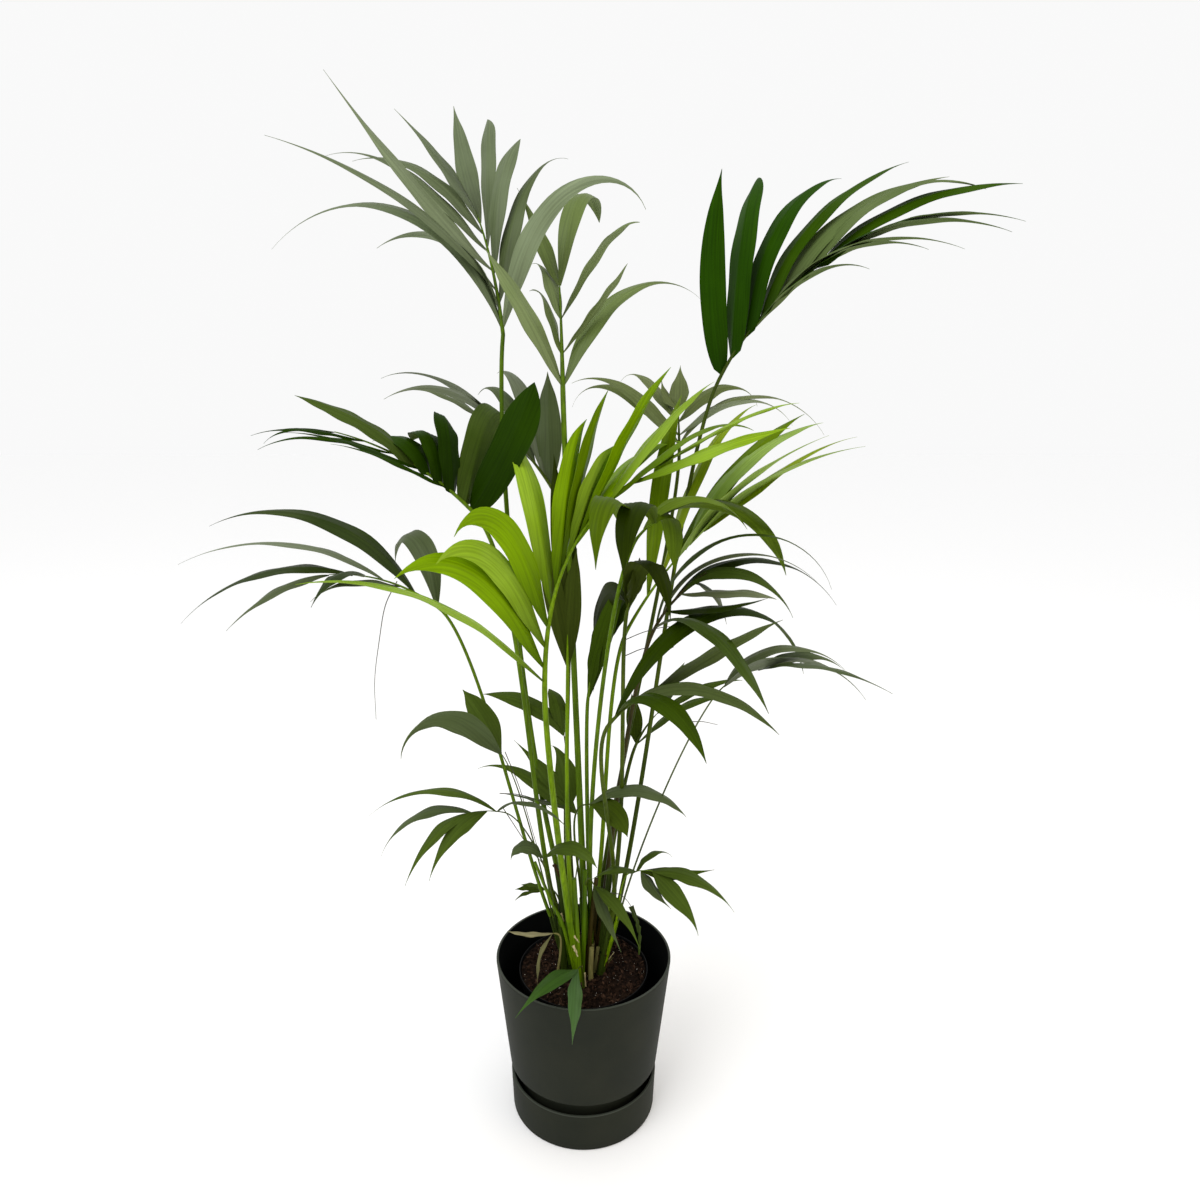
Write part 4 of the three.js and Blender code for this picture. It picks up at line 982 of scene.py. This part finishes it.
# Each cane runs from the compost up to the foot of its own petiole, and a frond's petiole and rib
# are one tapering stalk. A cane's skin depends on how old the frond on it is.
petioleSize = dict(foot=3.3, crown=2.3, ribTip=0.6, flute=0.25, swell=0.8)
smallSize = dict(foot=2.0, crown=1.1, ribTip=0.5, flute=0.25, swell=0.8)
caneSize = dict(foot=4.0, top=2.9, spreadFoot=3.4, sunk=3, lap=1.5, bulge=3, steps=14)
slotNames = dict(greyGreen='grey_green_leaf', oliveGrey='grey_green_leaf', paleGreen='grey_green_leaf',
                 slateGreen='grey_green_leaf', shadeGreen='grey_green_leaf',
                 youngGreen='young_green_leaf', fanGreen='young_green_leaf',
                 oliveDark='dark_green_leaf', darkGreen='dark_green_leaf', lowGreen='dark_green_leaf',
                 sideGreen='dark_green_leaf', dried='dried_leaf')


def frondsOn(name):
    everyFrond = [*fronds.values(), *smallLeaves.values()]
    return [frond for frond in everyFrond if frond.get('stem') == name]


def canePath(name, frond):
    low, high = (Vector(place) for place in stems[name])
    out = heading(frond['side'], 0)
    foot = low + out * caneSize['spreadFoot'] - up * caneSize['sunk']
    end = high + out * petioleCircle + (high - low).normalized() * caneSize['lap']
    points = []
    for i in range(caneSize['steps'] + 1):
        t = i / caneSize['steps']
        ease = t * t * (3 - 2 * t)
        points.append(foot.lerp(end, t) + out * ((ease - t) * caneSize['bulge']))
    return points


for name in stems:
    heap = newHeap()
    skins = [frond.get('cane', 'caneGreen') for frond in frondsOn(name)]
    kinds = sorted(set(skins))
    for frond, skin in zip(frondsOn(name), skins):
        path = canePath(name, frond)
        scale = frond.get('stalk', 1)
        radii = tapered(caneSize['foot'] * scale, caneSize['top'] * scale, len(path))
        addTube(heap, path, radii, kinds.index(skin))
    finishStalks('canes_' + name, heap, ['stem_' + name], 'stem', kinds)


def buildFrond(name, frond, size, stalkNodes, leafNode):
    heap = newHeap()
    petiole = petiolePath(frond)
    rib = ribPath(frond)
    foot, crown, tip = (size[part] * frond.get('stalk', 1) for part in ('foot', 'crown', 'ribTip'))
    radii = tapered(foot, crown, len(petiole), size['swell']) + tapered(crown, tip, len(rib))[1:]
    addTube(heap, petiole + rib[1:], radii, 0, flute=size['flute'])
    finishStalks('stalk_' + name, heap, stalkNodes, 'petiole', [frond.get('skin', 'petioleDark')])

    heap = newHeap()
    for key, sign in (('right', 1), ('left', -1)):
        for plan in leafletPlans(frond, frond[key], sign):
            addLeaflet(heap, plan, rng.choice((0, 0, 1, 2)), 3)
    tone = frond['tone']
    finish(heapPiece('leaflets_' + name, heap), [leafNode], slotNames.get(tone, 'deep_green_leaf'),
           *[leaves[tone, part] for part in ('middle', 'shaded', 'lit', 'lit')])


for name, frond in fronds.items():
    buildFrond(name, frond, petioleSize, ['petiole_' + name], 'blade_' + name)
for name, frond in smallLeaves.items():
    buildFrond(name, frond, smallSize, [], 'leaf_' + name)
print('the plant is grown')


# The canes' feet: torn leaf sheaths round them, dead stubs, dry fibres and a few thin threads.
def smoothPath(corners, steps=8):
    # a curve through the corners, each stretch bent by its neighbours
    places = [Vector(corner) for corner in corners]
    places = [places[0] * 2 - places[1]] + places + [places[-1] * 2 - places[-2]]
    path = []
    for a, b, c, d in zip(places, places[1:], places[2:], places[3:]):
        for i in range(steps):
            t = i / steps
            path.append(b + (c - a) * (t / 2) + (a * 2 - b * 5 + c * 4 - d) * (t * t / 2)
                        + (b * 3 - a - c * 3 + d) * (t ** 3 / 2))
    return path + [places[-2]]


def addStrap(heap, path, width, slot, curl, ragged, taper, thick):
    # a thin strip, curled across like a gutter that opens backwards, with a torn edge
    rows = []
    for i, point in enumerate(path):
        way = pathWay(path, i)
        across = way.cross(Vector((0, -1, 0.2))).normalized()
        out = across.cross(way)
        half = width / 2 * (1 - taper * i / (len(path) - 1))
        row = []
        back = []
        for u in (-1, -2 / 3, -1 / 3, 0, 1 / 3, 2 / 3, 1):
            tear = 1 + ragged * rng.uniform(-1, 1) * abs(u) ** 3
            spot = point + across * (half * u * tear) + out * (-curl * half * u * u)
            row.append(spot + out * (thick / 2))
            back.append(spot - out * (thick / 2))
        rows.append(row + back[::-1])
    addLimb(heap, rows, slot)


# Each sheath wraps the lowest steps of one cane and ends in a few torn teeth that stand off it.
sheath = dict(steps=(3, 4, 5, 6), wrap=4.6, uneven=(-0.3, 0.4), lip=0.8, skins=(0, 0, 1, 2, 2))
tooth = dict(count=5, foot=3, middle=(3, 7), out=0.6, top=(8, 14), topOut=(1, 2.4), wide=(1.6, 3),
             skins=(0, 0, 1))
heap = newHeap()
for name in stems:
    for frond in frondsOn(name):
        path = canePath(name, frond)
        reach = rng.choice(sheath['steps'])
        wrap = sheath['wrap'] * frond.get('stalk', 1)
        radii = [wrap + rng.uniform(*sheath['uneven']) for i in range(reach + 1)]
        radii[-1] += sheath['lip']
        addTube(heap, path[:reach + 1], radii, rng.choice(sheath['skins']), sides=14, capped=False)
        for i in range(tooth['count']):
            away = heading(math.degrees(rng.uniform(0, 2 * math.pi)), 0)
            base = path[reach] + away * wrap - up * tooth['foot']
            middle = base + up * rng.uniform(*tooth['middle']) + away * tooth['out']
            top = base + up * rng.uniform(*tooth['top']) + away * rng.uniform(*tooth['topOut'])
            addStrap(heap, [base, middle, top], rng.uniform(*tooth['wide']), rng.choice(tooth['skins']),
                     curl=0.2, ragged=0.4, taper=0.8, thick=0.3)
finishStalks('leafSheaths', heap, [], 'stem', ['sheathBrown', 'sheathTan', 'caneOlive', 'fibrePale'])

# Thin young stalks in front of the clump, and the stubs of cut ones: corners, radii, skin.
stalkSlots = ('caneBright', 'petioleYoung', 'caneGreen', 'caneBrown', 'caneOlive', 'sheathTan',
              'fibrePale', 'sheathBrown', 'threadGrey')
thinStalks = [
    ([(-64, -28, 383), (-42, -28, 323), (-27, -30, 290), (-8, -30, 205)], 2.1, 2.8, 'caneBright'),
    ([(-35, -16, 370), (-29, -16, 321), (-30, -16, 271), (-25, -14, 204)], 4.6, 5.6, 'caneOlive'),
    ([(-28, -22, 372), (-17, -24, 330), (-13, -24, 262)], 2.2, 2.4, 'petioleYoung'),
    ([(-13, -30, 360), (-10, -32, 300), (-7, -32, 235), (-6, -30, 205)], 3.8, 4.4, 'caneBright'),
    ([(2, -26, 370), (1, -26, 300), (-2, -24, 205)], 3.0, 3.6, 'caneGreen'),
    ([(17, -16, 352), (11, -14, 290), (5, -14, 204)], 2.8, 3.4, 'caneBrown'),
    ([(36, -10, 362), (31, -8, 310), (22, -4, 204)], 4.2, 4.8, 'caneOlive'),
]
stubs = [
    ([(11, -26, 254), (10, -25, 230), (10, -24, 204)], 3.2, 3.4, 'sheathTan'),
    ([(20, -10, 244), (18, -10, 225), (16, -8, 204)], 2.6, 3.0, 'sheathTan'),
    ([(32, 4, 244), (27, 6, 224), (22, 8, 204)], 2.4, 2.8, 'caneOlive'),
    ([(2, -40, 226), (2, -39, 214), (2.5, -38, 203)], 1.1, 1.3, 'fibrePale'),
]
# Pale fibre scraps caught between the canes, and one lying on the compost: corners, width, skin.
scraps = [
    ([(-17, -39, 285), (-12, -40, 281), (-6, -40, 272)], 3.2, 'fibrePale'),
    ([(-14, -41, 268), (-11, -42, 262), (-8, -42, 252)], 4.4, 'fibrePale'),
    ([(-30, -25, 306), (-28, -26, 300), (-26, -26, 294)], 2.4, 'fibrePale'),
    ([(27, -2, 208), (34, 3, 215), (43, 8, 224)], 2.6, 'fibrePale'),
    ([(31, 0, 208), (36, 2, 214), (41, 2, 220)], 2.2, 'sheathTan'),
    ([(-40, -18, 374), (-35, -21, 366), (-30, -22, 352)], 5.0, 'sheathBrown'),
    ([(62, -52, 333), (70, -52, 310), (74, -52, 288), (73, -52, 262)], 6.0, 'caneOlive'),
    ([(35, -32, 330), (32, -33, 318), (30, -33, 304)], 7.0, 'petioleYoung'),
]
# Dead threads: a long one hanging from the left frond, and short curled hairs about the canes.
threads = [
    [(-215, -86, 772), (-230, -86, 743), (-239, -86, 702), (-247, -86, 653), (-248, -86, 603)],
    [(-106, -48, 490), (-80, -48, 488), (-55, -48, 479), (-36, -48, 465)],
    [(-98, -50, 547), (-80, -50, 496), (-62, -50, 427), (-50, -50, 385)],
    [(-102, -55, 474), (-68, -55, 416), (-49, -55, 388), (-36, -50, 320)],
    [(34, -52, 353), (49, -52, 349), (62, -52, 333), (71, -52, 307)],
    [(46, -60, 693), (74, -60, 705), (101, -60, 711), (128, -60, 709)],
    [(50, -70, 678), (73, -70, 687), (96, -70, 684), (108, -70, 689)],
    [(133, -40, 583), (150, -40, 583), (168, -40, 579)],
]
heap = newHeap()
for corners, topRadius, footRadius, skin in thinStalks + stubs:
    path = smoothPath(corners)
    addTube(heap, path, tapered(topRadius, footRadius, len(path)), stalkSlots.index(skin), flute=0.15)
for corners, width, skin in scraps:
    addStrap(heap, smoothPath(corners, 5), width, stalkSlots.index(skin),
             curl=0.3, ragged=0.5, taper=0.6, thick=0.4)
for corners in threads:
    path = smoothPath(corners)
    addTube(heap, path, tapered(0.6, 0.3, len(path)), stalkSlots.index('threadGrey'), sides=6)
finishStalks('canesFeet', heap, [], 'stem', stalkSlots)


lump = dict(rings=3, sides=6, poleGap=0.7, swell=(0.75, 1.2), rise=(0.8, 1.15))


def addLump(heap, centre, size, slot):
    # a crumb: a small ball of rings pushed out of round, tilted at random
    turn = Quaternion([rng.gauss(0, 1) for axis in range(4)]).normalized()
    rows = []
    for j in range(lump['rings']):
        angle = (j + lump['poleGap']) / (lump['rings'] + 2 * lump['poleGap'] - 1) * math.pi
        row = []
        for k in range(lump['sides']):
            around = k / lump['sides'] * 2 * math.pi
            swell = rng.uniform(*lump['swell'])
            spot = Vector((math.sin(angle) * math.cos(around) * size[0] * swell,
                           math.sin(angle) * math.sin(around) * size[1] * swell,
                           math.cos(angle) * size[2] * rng.uniform(*lump['rise'])))
            row.append(centre + turn @ spot)
        rows.append(row)
    addLimb(heap, rows, slot, turned=True)


def soilHeight(x, y):
    hit, place, normal, index = compost.ray_cast(Vector((x * mm, y * mm, 0.3)), down)
    return place.z / mm if hit else soilTop


# Compost crumbs: most are small, some are flat bark chips, and a few are white perlite grains.
# A crumb's depth is a share of its width, and so is its height, but a chip has a thickness. Each
# is raised by a share of its width, and a grain by its own measure.
crumbSizes = dict(
    soil=dict(count=1500, wide=(0.7, 2.2), deep=(0.6, 1), high=(0.5, 0.9), raised=0.2),
    bark=dict(count=330, wide=(2.0, 5.6), deep=(0.4, 0.8), thick=(0.6, 1.4), raised=0.2),
    perlite=dict(count=130, wide=(0.3, 0.75), high=0.8, lift=0.5),
)
heap = newHeap()
for slot, (kind, crumb) in enumerate(crumbSizes.items()):
    for i in range(crumb['count']):
        reach = compostSize['loose'] * math.sqrt(rng.random())
        angle = rng.uniform(0, 2 * math.pi)
        x = reach * math.cos(angle)
        y = reach * math.sin(angle)
        wide = rng.uniform(*crumb['wide'])
        if kind == 'soil':
            size = (wide, wide * rng.uniform(*crumb['deep']), wide * rng.uniform(*crumb['high']))
        elif kind == 'bark':
            size = (wide, wide * rng.uniform(*crumb['deep']), rng.uniform(*crumb['thick']))
        else:
            size = (wide, wide, wide * crumb['high'])
        lift = crumb['lift'] if kind == 'perlite' else crumb['raised'] * wide
        addLump(heap, Vector((x, y, soilHeight(x, y) + lift)), size, slot)
finish(heapPiece('compostCrumbs', heap, smooth=False), [], 'potting_soil', soil, bark, perlite)
print('the canes\' feet and the compost are dressed')

# White paper: a matt floor that only takes the pot's shadow.
bpy.ops.object.select_all(action='DESELECT')
bpy.ops.mesh.primitive_plane_add(size=studio['floorSize'], location=(0, 0, 0))
floor = bpy.context.object
floor.name = 'floor'
paper, tree, shader = newMaterial('white_paper', 0.9)
feed(tree, shader, {'Base Color': linearColour(studio['floorHex'])})
floor.data.materials.append(paper)
